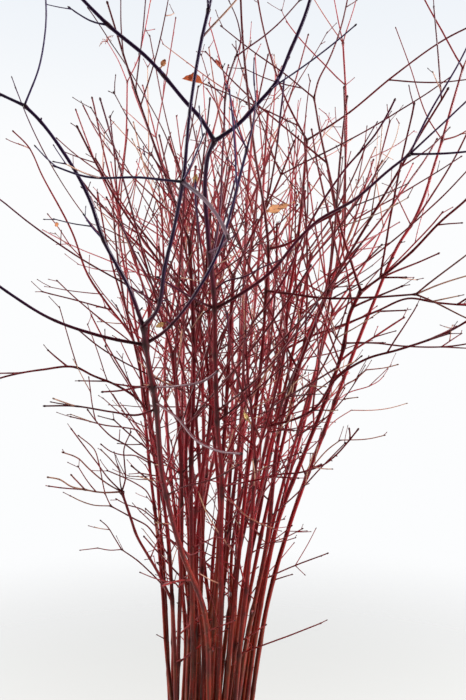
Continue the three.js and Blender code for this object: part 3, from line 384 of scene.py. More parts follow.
        9.6, 2.4, [[-63, -5, 492], [-75, -5, 598], [-79, 0, 666], [-88, 0, 772], [-102, 0, 895],
                   [-115, 0, 1019], [-131, 0, 1123], [-177, -5, 1188], [-208, -8, 1235], [-236, -10, 1310],
                   [-289, -15, 1412], [-312, -18, 1461], [-339, -20, 1488]],
        stem(2.5, 2.1, [[-94, 0, 828], [-108, -14, 863], [-123, -24, 876], [-142, -34, 888],
                        [-171, -44, 903]]),
        stem(2.5, 2.1, [[-108, 0, 948], [-123, -10, 966], [-148, -20, 973], [-175, -28, 977],
                        [-210, -36, 987], [-235, -42, 994]]),
        stem(2.3, 2, [[-103, 0, 908], [-128, -16, 924], [-147, -24, 926], [-166, -30, 933],
                      [-183, -36, 947]]),
        stem(2.2, 1.9, [[-92, 0, 806], [-117, -20, 832], [-138, -30, 841], [-157, -40, 854]]),
        stem(2, 1.7, [[-221, -9, 1270], [-237, -14, 1288], [-255, -18, 1314], [-278, -22, 1344]]),
    ),
    # Left, behind, upright with a fork above the rest of the left side.
    stem(
        9.8, 2.8, [[-71, 40, 469], [-81, 55, 646], [-92, 70, 790], [-103, 80, 919], [-123, 90, 1050],
                   [-146, 95, 1183], [-172, 100, 1317], [-176, 100, 1374], [-160, 100, 1520],
                   [-158, 100, 1619]],
        shoot(2.2, [[-158, 100, 1619], [-175, 98, 1660], [-196, 95, 1695]]),
        shoot(2.4, [[-158, 100, 1619], [-138, 102, 1662], [-128, 104, 1707], [-100, 108, 1857]]),
    ),
    # Left, in front, with a long arm to the left and a low spray of thin ones.
    stem(
        9.8, 2.8, [[-52, -55, 518], [-57, -70, 692], [-66, -80, 827], [-80, -92, 944], [-95, -100, 1012],
                   [-108, -110, 1091], [-129, -118, 1186], [-141, -125, 1281], [-146, -130, 1359]],
        shoot(
            4.4, [[-95, -100, 1012], [-115, -108, 1033], [-147, -115, 1053], [-180, -120, 1067],
                  [-202, -125, 1079], [-255, -135, 1076], [-303, -145, 1067], [-362, -150, 1048]],
            shoot(2.2, [[-202, -125, 1079], [-209, -130, 1107], [-228, -135, 1176]]),
        ),
        stem(
            5, 4, [[-57, -70, 689], [-79, -88, 744], [-95, -100, 777], [-110, -110, 809], [-119, -120, 842],
                   [-131, -130, 884]],
            stem(2.7, 2.2, [[-131, -130, 884], [-125, -132, 903], [-126, -134, 932], [-127, -134, 950],
                            [-116, -130, 980]]),
            stem(2.3, 1.9, [[-131, -130, 884], [-152, -134, 907], [-168, -140, 931], [-184, -146, 954],
                            [-207, -150, 987]]),
            stem(
                2.9, 2.2, [[-131, -130, 884], [-160, -134, 884], [-187, -138, 889], [-208, -143, 895],
                           [-224, -147, 906], [-244, -150, 911]],
                stem(2.3, 2, [[-187, -138, 889], [-217, -136, 891], [-247, -134, 894]]),
                stem(2.4, 2.1, [[-187, -138, 889], [-198, -142, 903], [-208, -146, 915]]),
            ),
            stem(2.6, 2.3, [[-131, -130, 884], [-134, -128, 901], [-135, -126, 916], [-146, -124, 930],
                            [-167, -120, 950]]),
            stem(2.4, 2.1, [[-131, -130, 884], [-148, -132, 894], [-167, -130, 907], [-186, -126, 922],
                            [-200, -122, 934], [-229, -118, 945]]),
        ),
        stem(3, 2.3, [[-77, -89, 918], [-110, -96, 938], [-130, -106, 955], [-149, -116, 968],
                      [-166, -124, 987], [-185, -134, 1015]]),
        stem(
            3, 2.4, [[-62, -75, 765], [-84, -86, 803], [-97, -94, 822], [-116, -100, 834], [-134, -106, 846],
                     [-152, -112, 858]],
            stem(2, 1.7, [[-152, -112, 858], [-179, -118, 861], [-197, -122, 868], [-215, -126, 878]]),
            stem(2, 1.8, [[-152, -112, 858], [-158, -116, 874], [-169, -122, 928], [-174, -126, 948],
                          [-200, -132, 974]]),
        ),
        stem(
            2.6, 2, [[-57, -70, 698], [-80, -78, 729], [-97, -86, 749], [-111, -92, 764], [-136, -100, 785]],
            stem(1.9, 1.6, [[-136, -100, 785], [-146, -104, 804], [-158, -108, 825], [-169, -112, 836]]),
            stem(1.8, 1.5, [[-136, -100, 785], [-153, -104, 785], [-175, -108, 790]]),
        ),
    ),
    # Middle, behind, stout and nearly straight.
    stem(
        10, 4.2, [[44, 52, 474], [48, 60, 644], [57, 68, 865], [70, 76, 1051], [86, 84, 1201],
                  [97, 90, 1334], [103, 95, 1449], [111, 100, 1565]],
        stem(3, 2.2, [[103, 95, 1446], [94, 97, 1545], [86, 99, 1670]]),
    ),
    # Middle, behind, beside it.
    stem(
        10.4, 4.6, [[16, 60, 474], [24, 66, 642], [38, 73, 864], [53, 80, 1051], [63, 86, 1201],
                    [69, 90, 1344], [74, 94, 1440], [90, 100, 1604]],
        stem(3, 2.2, [[69, 90, 1344], [53, 92, 1458], [44, 94, 1582]]),
    ),
    # Left of the middle, behind, turning back to the right.
    stem(
        9.8, 4, [[-24, 50, 474], [-39, 60, 644], [-62, 68, 790], [-78, 77, 938], [-83, 86, 1113],
                 [-72, 90, 1183], [-57, 94, 1271], [-44, 97, 1336], [-27, 100, 1460]],
        stem(3, 2.2, [[-46, 97, 1330], [-51, 98, 1441], [-65, 100, 1556]]),
    ),
]

# What stands in the air, as short straight stretches sorted into cubes of space.
cube = 60
filled = {}
canes = []


def cubesOf(a, b, reach):
    # the cubes that a stretch from a to b passes, or comes within reach of
    spans = []
    for axis in range(3):
        low = math.floor((min(a[axis], b[axis]) - reach) / cube)
        high = math.floor((max(a[axis], b[axis]) + reach) / cube)
        spans.append(range(low, high + 1))
    return itertools.product(*spans)


def gapBetween(a, b, c, d):
    # the least distance between the stretches from a to b and from c to d
    first, second, between = minus(b, a), minus(d, c), minus(a, c)
    along1, along2 = dot(first, first), dot(second, second)
    crossing = dot(first, second)
    lead1, lead2 = dot(first, between), dot(second, between)
    spread = along1 * along2 - crossing * crossing
    s = clamp((crossing * lead2 - lead1 * along2) / spread) if spread > 1e-6 else 0
    t = (crossing * s + lead2) / along2
    if t < 0:
        t, s = 0, clamp(-lead1 / along1)
    elif t > 1:
        t, s = 1, clamp((crossing - lead1) / along1)
    return sizeOf(plus(plus(between, first, s), second, -t))


def milestones(points):
    miles = [0]
    for k in range(1, len(points)):
        miles.append(miles[-1] + sizeOf(minus(points[k], points[k - 1])))
    return miles


def thinning(points, girth, tip):
    # the radius at each point of a shoot that tapers evenly
    miles = milestones(points)
    return [(girth + (tip - girth) * mile / miles[-1]) / 2 for mile in miles]


def isClear(points, radii, cane):
    # whether a shoot keeps clear of every other cane's
    for k in range(1, len(points)):
        a, b = points[k - 1], points[k]
        reach = radii[k - 1] + bundle["headRoom"]
        seen = set()
        for key in cubesOf(a, b, reach):
            for stretch in filled.get(key, ()):
                if stretch[3] == cane or id(stretch) in seen:
                    continue
                seen.add(id(stretch))
                if gapBetween(a, b, stretch[0], stretch[1]) < reach + stretch[2]:
                    return False
    return True


def settle(points, radii, cane):
    for k in range(1, len(points)):
        stretch = (points[k - 1], points[k], radii[k - 1], cane)
        for key in cubesOf(points[k - 1], points[k], radii[k - 1]):
            filled.setdefault(key, []).append(stretch)


def keep(cane, points, radii, order, carrier=None, pale=0.0):
    settle(points, radii, cane)
    grown = {"points": points, "radii": radii, "order": order, "sides": [], "pale": pale}
    canes[cane].append(grown)
    if carrier:
        carrier["sides"].append(grown)
    return grown


def pointAt(grown, share):
    # place, direction and radius of a shoot at a share of its length
    points, radii = grown["points"], grown["radii"]
    miles = milestones(points)
    mile = share * miles[-1]
    k = 0
    while k < len(points) - 2 and miles[k + 1] < mile:
        k += 1
    part = (mile - miles[k]) / (miles[k + 1] - miles[k])
    point = plus(points[k], minus(points[k + 1], points[k]), part)
    return point, unit(minus(points[k + 1], points[k])), radii[k] + (radii[k + 1] - radii[k]) * part


def nearestOn(points, p):
    # the point of a route nearest to p, and its mile
    best, bestGap, bestMile = None, 0, 0
    mile = 0
    for a, b in zip(points, points[1:]):
        run = minus(b, a)
        part = clamp(dot(minus(p, a), run) / dot(run, run))
        found = plus(a, run, part)
        gap = sizeOf(minus(found, p))
        if best is None or gap < bestGap:
            best, bestGap, bestMile = found, gap, mile + part * sizeOf(run)
        mile += sizeOf(run)
    return best, bestMile


def bendClear(route, radii, cane):
    for step in bundle["detours"]:
        bent = [plus(p, (0, step * min(k / 2, 1), 0)) for k, p in enumerate(route)]
        if isClear(bent, radii, cane):
            return bent
    raise RuntimeError(f"a shoot of cane {cane} finds no room")


def footOf(mouth):
    share = bundle["footShare"]
    return (mouth[0] * share, mouth[1] * share, bundle["footHeight"])


def plantLeadingCanes():
    for cane, plan in enumerate(leadingCanes):
        route = [footOf(plan["route"][0]), *plan["route"]]
        radii = thinning(route, plan["girth"], plan["tip"])
        canes.append([])
        keep(cane, bendClear(route, radii, cane), radii, 0)


def growPlanned(cane, carrier, sides, order):
    # each planned side is moved so that it starts on its carrier's middle line
    for plan in sides:
        moved = minus(nearestOn(carrier["points"], plan["route"][0])[0], plan["route"][0])
        route = [plus(p, moved) for p in plan["route"]]
        radii = thinning(route, plan["girth"], plan["tip"])
        grown = keep(cane, bendClear(route, radii, cane), radii, order, carrier, plan["pale"])
        growPlanned(cane, grown, plan["sides"], order + 1)


def leanRun(height):
    # how far outwards a cane has come at a height: it leans least at the mouth
    settles, early = bundle["leanSettles"], bundle["leanAtMouth"]
    settled = min(height, settles)
    bowed = settled * settled / (2 * settles) + max(height - settles, 0)
    return early * height + (1 - early) * bowed


def caneHeights(fork):
    heights = [bundle["mouthHeight"], bundle["mouthHeight"] + bundle["straightRun"]]
    rest = fork - heights[1]
    count = math.floor(rest / bundle["caneRun"] + 0.5)
    return heights + [heights[1] + rest * k / count for k in range(1, count + 1)]


def plantByRule(cane):
    draw = dice(cane + 1)
    girth = draw(*bundle["girth"])
    for attempt in range(bundle["caneTries"]):
        share = math.sqrt(draw())
        out = bundle["radius"] * share
        around = cane * bundle["goldenTurn"]
        around += either(draw, bundle["turnVaries"]) * (1 + attempt / bundle["turnWidens"])
        leanTo = around + either(draw, bundle["leanTurns"])
        lean = mix((bundle["leanLeast"], bundle["leanMost"]), share) + either(draw, bundle["leanVaries"])
        fork = draw(*bundle["forkHeights"]) - bundle["leanLowersFork"] * lean
        bent = draw(*bundle["sway"])
        wave = draw(*bundle["swayWave"])
        phase = draw(0, 2 * math.pi)
        bendTo = draw(0, 2 * math.pi)
        route = []
        for z in caneHeights(fork):
            height = z - bundle["mouthHeight"]
            run = lean * leanRun(height)
            across = run * math.cos(leanTo)
            swing = bent * min(height / bundle["leanSettles"], 1)
            swing *= math.sin(phase + 2 * math.pi * height / wave)
            x = out * math.cos(around) + across * (bundle["leanLeftShare"] if across < 0 else 1)
            x += swing * math.cos(bendTo)
            y = out * math.sin(around) + run * math.sin(leanTo) + swing * math.sin(bendTo)
            route.append((x + bundle["driftRight"] * height, y, z))
        route.insert(0, footOf(route[0]))
        radii = thinning(route, girth, girth * (1 - bundle["taper"] * (fork - bundle["mouthHeight"])))
        if isClear(route, radii, cane):
            canes.append([])
            keep(cane, route, radii, 0)
            return
    raise RuntimeError(f"cane {cane} finds no room in the vase")


def squareTo(along):
    across = unit(plus((1.0, 0.0, 0.0), along, -along[0]))
    return across, cross(along, across)


def sideOf(along, turn):
    # square to along, on the side that turn points to
    across, other = squareTo(along)
    return plus(timesOf(across, math.cos(turn)), other, math.sin(turn))


def leaving(along, turn, spread):
    return plus(timesOf(along, math.cos(spread)), sideOf(along, turn), math.sin(spread))


def sideRoute(root, along, turn, spread, length, steps, lift, draw):
    # leaves its carrier at spread from it, and bends upwards by lift in each stretch
    heading = leaving(along, turn, spread)
    route = [root]
    for _ in range(steps):
        heading = strayed(plus(heading, (0, 0, 1), lift), draw, bundle["wander"])
        route.append(plus(route[-1], heading, length / steps))
    return route


def growSide(cane, carrier, share, girth, order, plan, draw):
    point, along, radius = pointAt(carrier, share)
    thick = min(girth, radius * sideRule["thickest"])
    root = plus(point, along, -radius * sideRule["setBack"])
    for attempt in range(sideRule["tries"]):
        turn = plan["turn"] + either(draw, sideRule["turnVaries"]) * (1 + attempt)
        widened = 1 + attempt * sideRule["spreadWidens"]
        spread = plan["spread"] + either(draw, sideRule["spreadVaries"]) * widened
        length = plan["length"] * (1 - sideRule["shortens"] * attempt)
        route = sideRoute(root, along, turn, spread, length, plan["steps"], plan["lift"], draw)
        radii = thinning(route, thick, thick * bundle["tipShare"])
        if isClear(route, radii, cane):
            return keep(cane, route, radii, order, carrier)
    return None


def growFork(cane):
    draw = dice(seeds["fork"] + cane)
    stalk = canes[cane][0]
    turn = draw(0, math.pi)
    top = stalk["points"][-1][2]
    girth = 2 * stalk["radii"][-1]
    for side in (0, math.pi):
        length = min(draw(*arms["length"]), bundle["crownHeight"] - top)
        plan = {"turn": turn + side, "spread": draw(*arms["spread"]), "length": length}
        plan.update(steps=arms["steps"], lift=draw(*arms["lift"]))
        arm = growSide(cane, stalk, 1, girth * draw(*arms["share"]), 1, plan, draw)
        if not arm:
            continue
        twig = {"turn": draw(0, 2 * math.pi), "spread": draw(*arms["twigSpread"])}
        twig.update(length=length * arms["twigShare"], steps=arms["twigSteps"], lift=arms["twigLift"])
        growSide(cane, arm, draw(*arms["twigAt"]), arms["twigGirth"], 2, twig, draw)


def growSideBranches(cane):
    count = sideBranches["count"]
    draw = dice(seeds["side"] + cane)
    stalk = canes[cane][0]
    foot = stalk["points"][0][2]
    lowest = (sideBranches["lowest"] - foot) / (stalk["points"][-1][2] - foot)
    turn = draw(0, 2 * math.pi)
    for k in range(count):
        rise = (k + draw(*sideBranches["place"])) / count
        length = mix(sideBranches["length"], rise * draw(*sideBranches["lengthShare"]))
        plan = {"turn": turn + k * bundle["goldenTurn"], "length": length}
        plan["steps"] = 3 if length > sideBranches["longOver"] else 2
        for name in ("spread", "lift"):
            plan[name] = mix(sideBranches[name], rise) + either(draw, sideBranches[name + "Varies"])
        share = mix((lowest, sideBranches["highest"]), rise)
        growSide(cane, stalk, share, draw(*sideBranches["girth"]), 1, plan, draw)


# The dried leaves that still hang on, as in the solids: where the stalk leaves its
# twig, the way the blade runs and the side its face turns to, its length, width, curl
# and fold. tint runs from tan to rust, green is how much green is left in the blade,
# lobes how deep its edge is waved, brown how far it has darkened.
def leafPlan(spot, heading, face, cut, tint, green, lobes=0.0, brown=0.0):
    length, width, curl, fold = cut
    return {
        "spot": spot, "heading": heading, "face": face, "length": length, "width": width,
        "curl": curl, "fold": fold, "tint": tint, "green": green, "lobes": lobes,
        "brown": brown,
    }


facing = (0.15, -0.97, 0.2)
leafPlans = [
    leafPlan((12, -279, 1467), (-1, -0.02, 0.06), (0.05, -0.25, 1), (37, 26, 0.25, 1.25), 0.95, 0.0),
    leafPlan((146, -113, 1345), (-0.89, -0.1, -0.42), facing, (62, 19, 0.45, 0.25), 0.15, 0.0, 0.5),
    leafPlan((-41, -421, 1431), (-0.3, -0.5, 0.8), facing, (11, 7, 0.6, 0.3), 0.3, 0.0),
    leafPlan((30, -265, 1497), (-0.5, 0, 0.87), facing, (16, 8, 0.9, 0.6), 0.9, 0.0, 0.0, 0.75),
    leafPlan((-261, -20, 1324), (-0.55, -0.4, 0.75), facing, (17, 9, 0.8, 0.4), 0.4, 0.1),
    leafPlan((-20, -60, 1392), (-0.2, 0, 1), facing, (22, 10, 0.8, 0.3), 0.2, 0.7),
    leafPlan((-35, -389, 1141), (-0.85, -0.3, 0.2), facing, (14, 7, 0.6, 0.3), 0.0, 0.4),
    leafPlan((72, -136, 991), (-0.55, -0.2, 0.8), facing, (27, 8, 0.8, 0.5), 0.2, 0.9),
]
leafCut = {
    "stalkShare": 0.24,
    "stalkWidth": 1.5,
    "fit": 0.3,
    "leaves": 0.5,  # least lean away from the twig
    "strays": 0.02,  # more of this with each try
    "slides": 0.002,  # down the twig with each try
    "lowest": 0.2,
    "tries": 200,
    "searched": (0.3, 0.95),  # shares of a shoot between which a leaf may hang on it
    "searchStep": 0.05,
    "depthCounts": 0.15,
    "clearance": 0.5,
    "stretches": 5,
}
leaves = []


def carrierOf(spot):
    # the side shoot that passes nearest to a leaf's place, and where on it
    best = None
    for cane, grown in enumerate(canes):
        for carrier in grown:
            share, last = leafCut["searched"]
            while carrier["order"] > 0 and share < last:
                far = minus(pointAt(carrier, share)[0], spot)
                off = sizeOf((far[0], leafCut["depthCounts"] * far[1], far[2]))
                if best is None or off < best[0]:
                    best = (off, cane, carrier, share)
                share += leafCut["searchStep"]
    return best[1:]


def leafHalf(plan, share):
    # half the leaf's width at a share of its length, stalk first
    blade = (share - leafCut["stalkShare"]) / (1 - leafCut["stalkShare"])
    wide = math.sin(math.pi * min(blade, 1) ** 0.8) if blade > 0 else 0
    stalk = leafCut["stalkWidth"] / 2
    return stalk + max(wide, 0) * (plan["width"] / 2 - stalk)


def leafMiddle(plan, share):
    # how far the curled middle rib has gone ahead and up
    turn, bend = plan["curl"] * share, plan["length"] / plan["curl"]
    return bend * math.sin(turn), bend * (1 - math.cos(turn))


def hangLeaf(index, plan):
    draw = dice(seeds["leaf"] + index)
    cane, carrier, found = carrierOf(plan["spot"])
    for attempt in range(leafCut["tries"]):
        slid = max(found - leafCut["slides"] * attempt, leafCut["lowest"])
        point, along, radius = pointAt(carrier, slid)
        heading = strayed(plan["heading"], draw, leafCut["strays"] * attempt)
        away = plus(heading, along, -dot(along, heading))
        if sizeOf(away) < leafCut["leaves"]:
            continue
        side = unit(cross(heading, plan["face"]))
        above = cross(side, heading)
        root = plus(point, unit(away), radius + leafCut["fit"])
        spine, radii = [], []
        for k in range(leafCut["stretches"] + 1):
            share = k / leafCut["stretches"]
            ahead, over = leafMiddle(plan, share)
            spine.append(plus(plus(root, heading, ahead), above, over))
            radii.append(0 if k == 0 else leafHalf(plan, share) + leafCut["clearance"])
        if isClear(spine, radii, cane) and isClear(spine[2:], radii[2:], -1):
            settle(spine, radii, -1)
            leaves.append({"plan": plan, "root": root, "heading": heading, "side": side, "above": above})
            return
    raise RuntimeError(f"leaf {index + 1} finds no room")


def growBundle():
    leading = len(leadingCanes)
    plantLeadingCanes()
    for cane in range(leading, bundle["caneCount"]):
        plantByRule(cane)
    for cane, plan in enumerate(leadingCanes):
        growPlanned(cane, canes[cane][0], plan["sides"], 1)
    for cane in range(leading, bundle["caneCount"]):
        growFork(cane)
    for index, plan in enumerate(leafPlans):
        hangLeaf(index, plan)
    for cane in range(leading, bundle["caneCount"]):
        growSideBranches(cane)


growBundle()
shoots = sum(len(grown) for grown in canes)
print("bundle grown:", len(canes), "canes,", shoots, "shoots,", len(leaves), "leaves")

# How bark dresses the bundle: swollen joints, the fine twigs and spurs at them, buds.
joints = {
    "everyOnCane": (85, 125),
    "everyOnBranch": (48, 80),
    "everyOnTwig": (32, 58),
    "firstAt": (0.4, 0.9),  # share of the shortest of these
    "lastBefore": 8,
    # of the joints, then of the forks: the share of the radius that it stands out, the
    # radii that it runs along the bark, how dark it is
    "plain": (0.08, 1.2, 0.4),
    "fork": (0.26, 2.0, 1),
    "runsMore": 0.6,
    "zigzag": 0.45,
    "zigzagVaries": (0.4, 1.3),
}
# a branch's root flares out over this many radii of its carrier, and a little more
flare = {"run": 1.2, "runsMore": 1.5, "swell": 0.22, "dark": 0.5}
waves = ((0.035, 23, 1), (0.02, 7.3, 2))  # slow waves of a strand's girth: height, length, phase
buds = {
    "length": 2.4,
    "perRadius": 2.0,
    "ofShoot": 0.4,  # share of a short shoot that its bud takes up at most
    # radius over that of the shoot, from the point down
    "outline": ((0, 0.12), (0.12, 0.75), (0.45, 1.45), (0.8, 1.2), (1, 1)),
}
bluntEnd = {"forkWithin": 5, "shoulder": (0.5, 0.85), "end": (0.85, 0.25), "endFrom": 0.6}
ringPace = {"least": 3.2, "perRadius": 1.1, "atJoint": (-1.3, -0.6, 0, 0.6, 1.3), "closest": 0.25}
barkMargin = 0.2  # how far inside the solids' box all bark ends
# Fine growth by height over the floor: chance of a long twig at each side of a joint, its
# shortest and longest, its angle from the carrier, how far it turns upwards, and the
# chance of a short spur instead.
twigZones = [
    (500, 0.04, 30, 90, 1.15, 0.1, 0.4),
    (640, 0.12, 40, 140, 1.1, 0.1, 0.5),
    (820, 0.36, 60, 180, 0.85, 0.25, 0.34),
    (1000, 0.58, 100, 320, 0.72, 0.2, 0.14),
    (1250, 0.34, 110, 350, 0.72, 0.14, 0.1),
    (1500, 0.11, 80, 280, 0.7, 0.12, 0.12),
    (1860, 0.08, 30, 140, 0.6, 0.1, 0.2),
]
twigs = {
    "girth": (1.5, 4.4),  # for the shortest and the longest
    "tipShare": 0.75,
    "thinnest": 1.1,
    "fullLength": 360,
    "stoutOver": 3.1,  # a shoot under this diameter branches as little as a twig
    "lowestRise": 0.0,  # none sets out downwards
    "strays": 0.03,  # by which each stretch strays from its course
    "bow": 0.6,  # sideways turn of the whole twig
    "onTwigChance": 0.34,  # of the chances above, on a twig
    "onTwigSpurs": 0.3,
    "onTwigLength": 0.42,
    "tanChance": 0.12,
    "tanOutwards": 0.0016,  # more of them are tan with each mm from the middle of the bundle
    "tanUnder": 2.3,  # only thin twigs are dried to tan
    "tanShootUnder": 3.2,  # and thin shoots of the solids
    "tanShoot": (0.3, 0.9),
    "toneVaries": 0.25,
    "shootToneVaries": 0.12,
    "pairVaries": 0.2,  # from a quarter turn between one pair and the next
    "spreadVaries": 0.15,
    "lengthPower": 1.3,  # over 1, so that long ones are rare
    "tipKept": 12,  # none grows so near the tip of its carrier
    "ofCarrier": 0.7,  # a twig's greatest length on another twig
    "ofRadius": 1.6,  # a twig's greatest girth, in radii of its carrier
    "boxMargin": 4,  # how far inside the solids' box a twig's course ends
    "sproutsOver": 28,
    "stepLength": 40,
    "dip": (-0.4, 1),
    "bowOver": 120,  # shorter ones bow and rise less
    "riseOver": 90,
    "riseMost": 1.3,
}
spurs = {"length": (4, 26), "lengthPower": 2.2, "girth": (1.2, 1.9), "spread": 0.95}
prongs = {"over": 40, "back": (2, 6), "chance": 0.4, "length": (8, 34), "spread": 0.6, "lift": 0.1}
near = {"front": -230, "chance": 0.1, "length": 0.4}  # few fine twigs on the foremost arms
# twigs end within this reach around the middle, by height, or a little beyond their own root
funnel = {
    "middle": (25, -40),
    "heights": (500, 820, 1000, 1250, 1500),
    "reach": (100, 150, 210, 360, 560),
    "beyond": 45,
}


def zoneAt(z):
    heights = [zone[0] for zone in twigZones]
    return [float(np.interp(z, heights, [zone[k] for zone in twigZones])) for k in range(1, 7)]


def curveAt(points, miles, at):
    # a smooth line through the route's points, with the place at each of the given miles
    steps = np.diff(miles)[:, None]
    slopes = np.diff(points, axis=0) / steps
    tangents = np.vstack([slopes[:1], slopes[-1:]])
    if len(points) > 2:
        inner = (slopes[:-1] * steps[1:] + slopes[1:] * steps[:-1]) / (steps[1:] + steps[:-1])
        tangents = np.vstack([slopes[:1], inner, slopes[-1:]])
    k = np.clip(np.searchsorted(miles, at, side="right") - 1, 0, len(points) - 2)
    h = steps[k]
    s = ((at - miles[k])[:, None]) / h
    first = (2 * s**3 - 3 * s**2 + 1) * points[k] + (s**3 - 2 * s**2 + s) * h * tangents[k]
    return first + (3 * s**2 - 2 * s**3) * points[k + 1] + (s**3 - s**2) * h * tangents[k + 1]


def jointMiles(length, every, draw):
    miles, mile = [], draw(*joints["firstAt"]) * every[0]
    while mile < length - joints["lastBefore"]:
        miles.append(mile)
        mile += draw(*every)
    return miles


def knotsOf(sort, places, miles, radii):
    # mile, swell, reach and darkness of each joint or fork
    swell, run, dark = joints[sort]
    reaches = [run * float(np.interp(mile, miles, radii)) + joints["runsMore"] for mile in places]
    return [(mile, swell, reach, dark) for mile, reach in zip(places, reaches)]


def ringsOf(length, radii, knots, budLength):
    # an even pace, closer at joints, and the outline of the bud or of the blunt end
    pace = ringPace["least"] + ringPace["perRadius"] * radii[0]
    rings = set(np.linspace(0, length, max(3, round(length / pace))).tolist())
    for mile, _, reach, _ in knots:
        rings.update(mile + reach * part for part in ringPace["atJoint"])
    if budLength:
        rings = {mile for mile in rings if 0 <= mile <= length - budLength}
        rings.update(length - budLength * part for part, _ in buds["outline"])
    else:
        rings.update(length + bluntEnd[name][0] * radii[-1] for name in ("shoulder", "end"))
        rings = {mile for mile in rings if 0 <= mile <= length + radii[-1]}
    rings = sorted(rings)
    closest = ringPace["closest"]
    return np.array([mile for k, mile in enumerate(rings) if k == 0 or mile - rings[k - 1] > closest])


def zigzag(rings, points, nodes, length, draw):
    # short straight lengths that turn a little at each joint
    across, other = squareTo(unit(tuple(points[-1] - points[0])))
    corners, offsets = [0], [(0, 0, 0)]
    for k, mile in enumerate(nodes):
        step = joints["zigzag"] * draw(*joints["zigzagVaries"]) * (1 if k % 2 else -1)
        corners.append(mile)
        offsets.append(timesOf(across if k % 4 < 2 else other, step))
    corners.append(length)
    offsets.append((0, 0, 0))
    return np.stack([np.interp(rings, corners, axis) for axis in zip(*offsets)], axis=1)


def strandOf(points, radii, every, draw, tone, carrierRadius, forks, pale=0.0):
    # a shoot or twig as rings of bark, with its joints, forks and bud
    points = np.array(points, float)
    miles = np.array(milestones([tuple(p) for p in points]))
    length, tip = miles[-1], radii[-1]
    nodes = jointMiles(length, every, draw)
    knots = knotsOf("plain", nodes, miles, radii) + knotsOf("fork", forks, miles, radii)
    blunt = any(mile > length - bluntEnd["forkWithin"] for mile in forks)
    budLength = 0 if blunt else min(buds["length"] + buds["perRadius"] * tip, length * buds["ofShoot"])
    rings = ringsOf(length, radii, knots, budLength)
    place = curveAt(points, miles, np.minimum(rings, length))
    place += np.maximum(rings - length, 0)[:, None] * np.array(unit(tuple(points[-1] - points[-2])))
    knot = np.zeros(len(rings))
    swell = np.ones(len(rings))
    for mile, size, reach, dark in knots:
        bump = np.exp(-(((rings - mile) / reach) ** 2))
        swell += size * bump
        knot = np.maximum(knot, bump * dark)
    if carrierRadius:
        rooted = np.exp(-((rings / (carrierRadius * flare["run"] + flare["runsMore"])) ** 2))
        swell += flare["swell"] * rooted
        knot = np.maximum(knot, flare["dark"] * rooted)
    phase = draw(0, 6)
    swell *= sum((high * np.sin(rings / wave + times * phase) for high, wave, times in waves), 1)
    if blunt:
        shoulder, width = bluntEnd["shoulder"]
        swell = np.where(rings > length + bluntEnd["endFrom"] * tip, bluntEnd["end"][1], swell)
        swell = np.where(rings == length + shoulder * tip, width, swell)
    else:
        part = (length - rings) / budLength
        inBud = part < 0.999
        swell = np.where(inBud, np.interp(part, *zip(*buds["outline"])), swell)
        knot = np.where(inBud, 1, knot)
    place += zigzag(rings, points, nodes, length, draw)
    radius = np.interp(rings, miles, radii) * swell
    low, high = np.array(cadBox[0]) * 1000, np.array(cadBox[1]) * 1000
    thick = radius[:, None]
    place = np.clip(place, low + thick + barkMargin, high - thick - barkMargin)
    return {
        "place": place,
        "miles": rings,
        "radius": radius,
        "knot": knot,
        "tone": tone,
        "pale": pale,
        "nodes": nodes,
        "girth": 2 * radii[0],
        "length": length,
    }


def forksOf(points, sides):
    return [nearestOn(points, side["points"][0])[1] for side in sides]


def onStrand(strand, mile):
    # place, direction and radius of a strand at a mile of its length
    k = int(np.clip(np.searchsorted(strand["miles"], mile), 1, len(strand["miles"]) - 1))
    place = tuple(np.interp(mile, strand["miles"], strand["place"][:, axis]) for axis in range(3))
    along = unit(tuple(strand["place"][k] - strand["place"][k - 1]))
    return place, along, float(np.interp(mile, strand["miles"], strand["radius"]))


def dressGrown(grown, strand, tone, draw, out):
    # the shoots of the solids, each moved with the smoothed line of its carrier
    out.append(strand)
    for side in grown["sides"]:
        root, mile = nearestOn(grown["points"], side["points"][0])
        moved = minus(onStrand(strand, mile)[0], root)
        miles = milestones(side["points"])
        points = [plus(p, moved, 1 - mile / miles[-1]) for p, mile in zip(side["points"], miles)]
        forks = forksOf(side["points"], side["sides"])
        carrierRadius = onStrand(strand, mile)[2]
        sideTone = clamp(tone + either(draw, twigs["shootToneVaries"]))
        tip, radii, pale = points[-1], side["radii"], side["pale"]
        if draw() < twigs["tanOutwards"] * fromMiddle(tip) and radii[0] < twigs["tanShootUnder"] / 2:
            pale = pale if pale or tip[1] < near["front"] else -draw(*twigs["tanShoot"])
        every = joints["everyOnBranch"]
        sideStrand = strandOf(points, radii, every, draw, sideTone, carrierRadius, forks, pale)
        dressGrown(side, sideStrand, sideTone, draw, out)


def inBox(points):
    margin = twigs["boxMargin"]
    low, high = (timesOf(corner, 1000) for corner in cadBox)
    return all(low[axis] + margin < p[axis] < high[axis] - margin for p in points for axis in range(3))


def fromMiddle(p):
    return math.hypot(p[0] - funnel["middle"][0], p[1] - funnel["middle"][1])


def inFunnel(route):
    reach = float(np.interp(route[-1][2], funnel["heights"], funnel["reach"]))
    return fromMiddle(route[-1]) < max(reach, fromMiddle(route[0]) + funnel["beyond"])


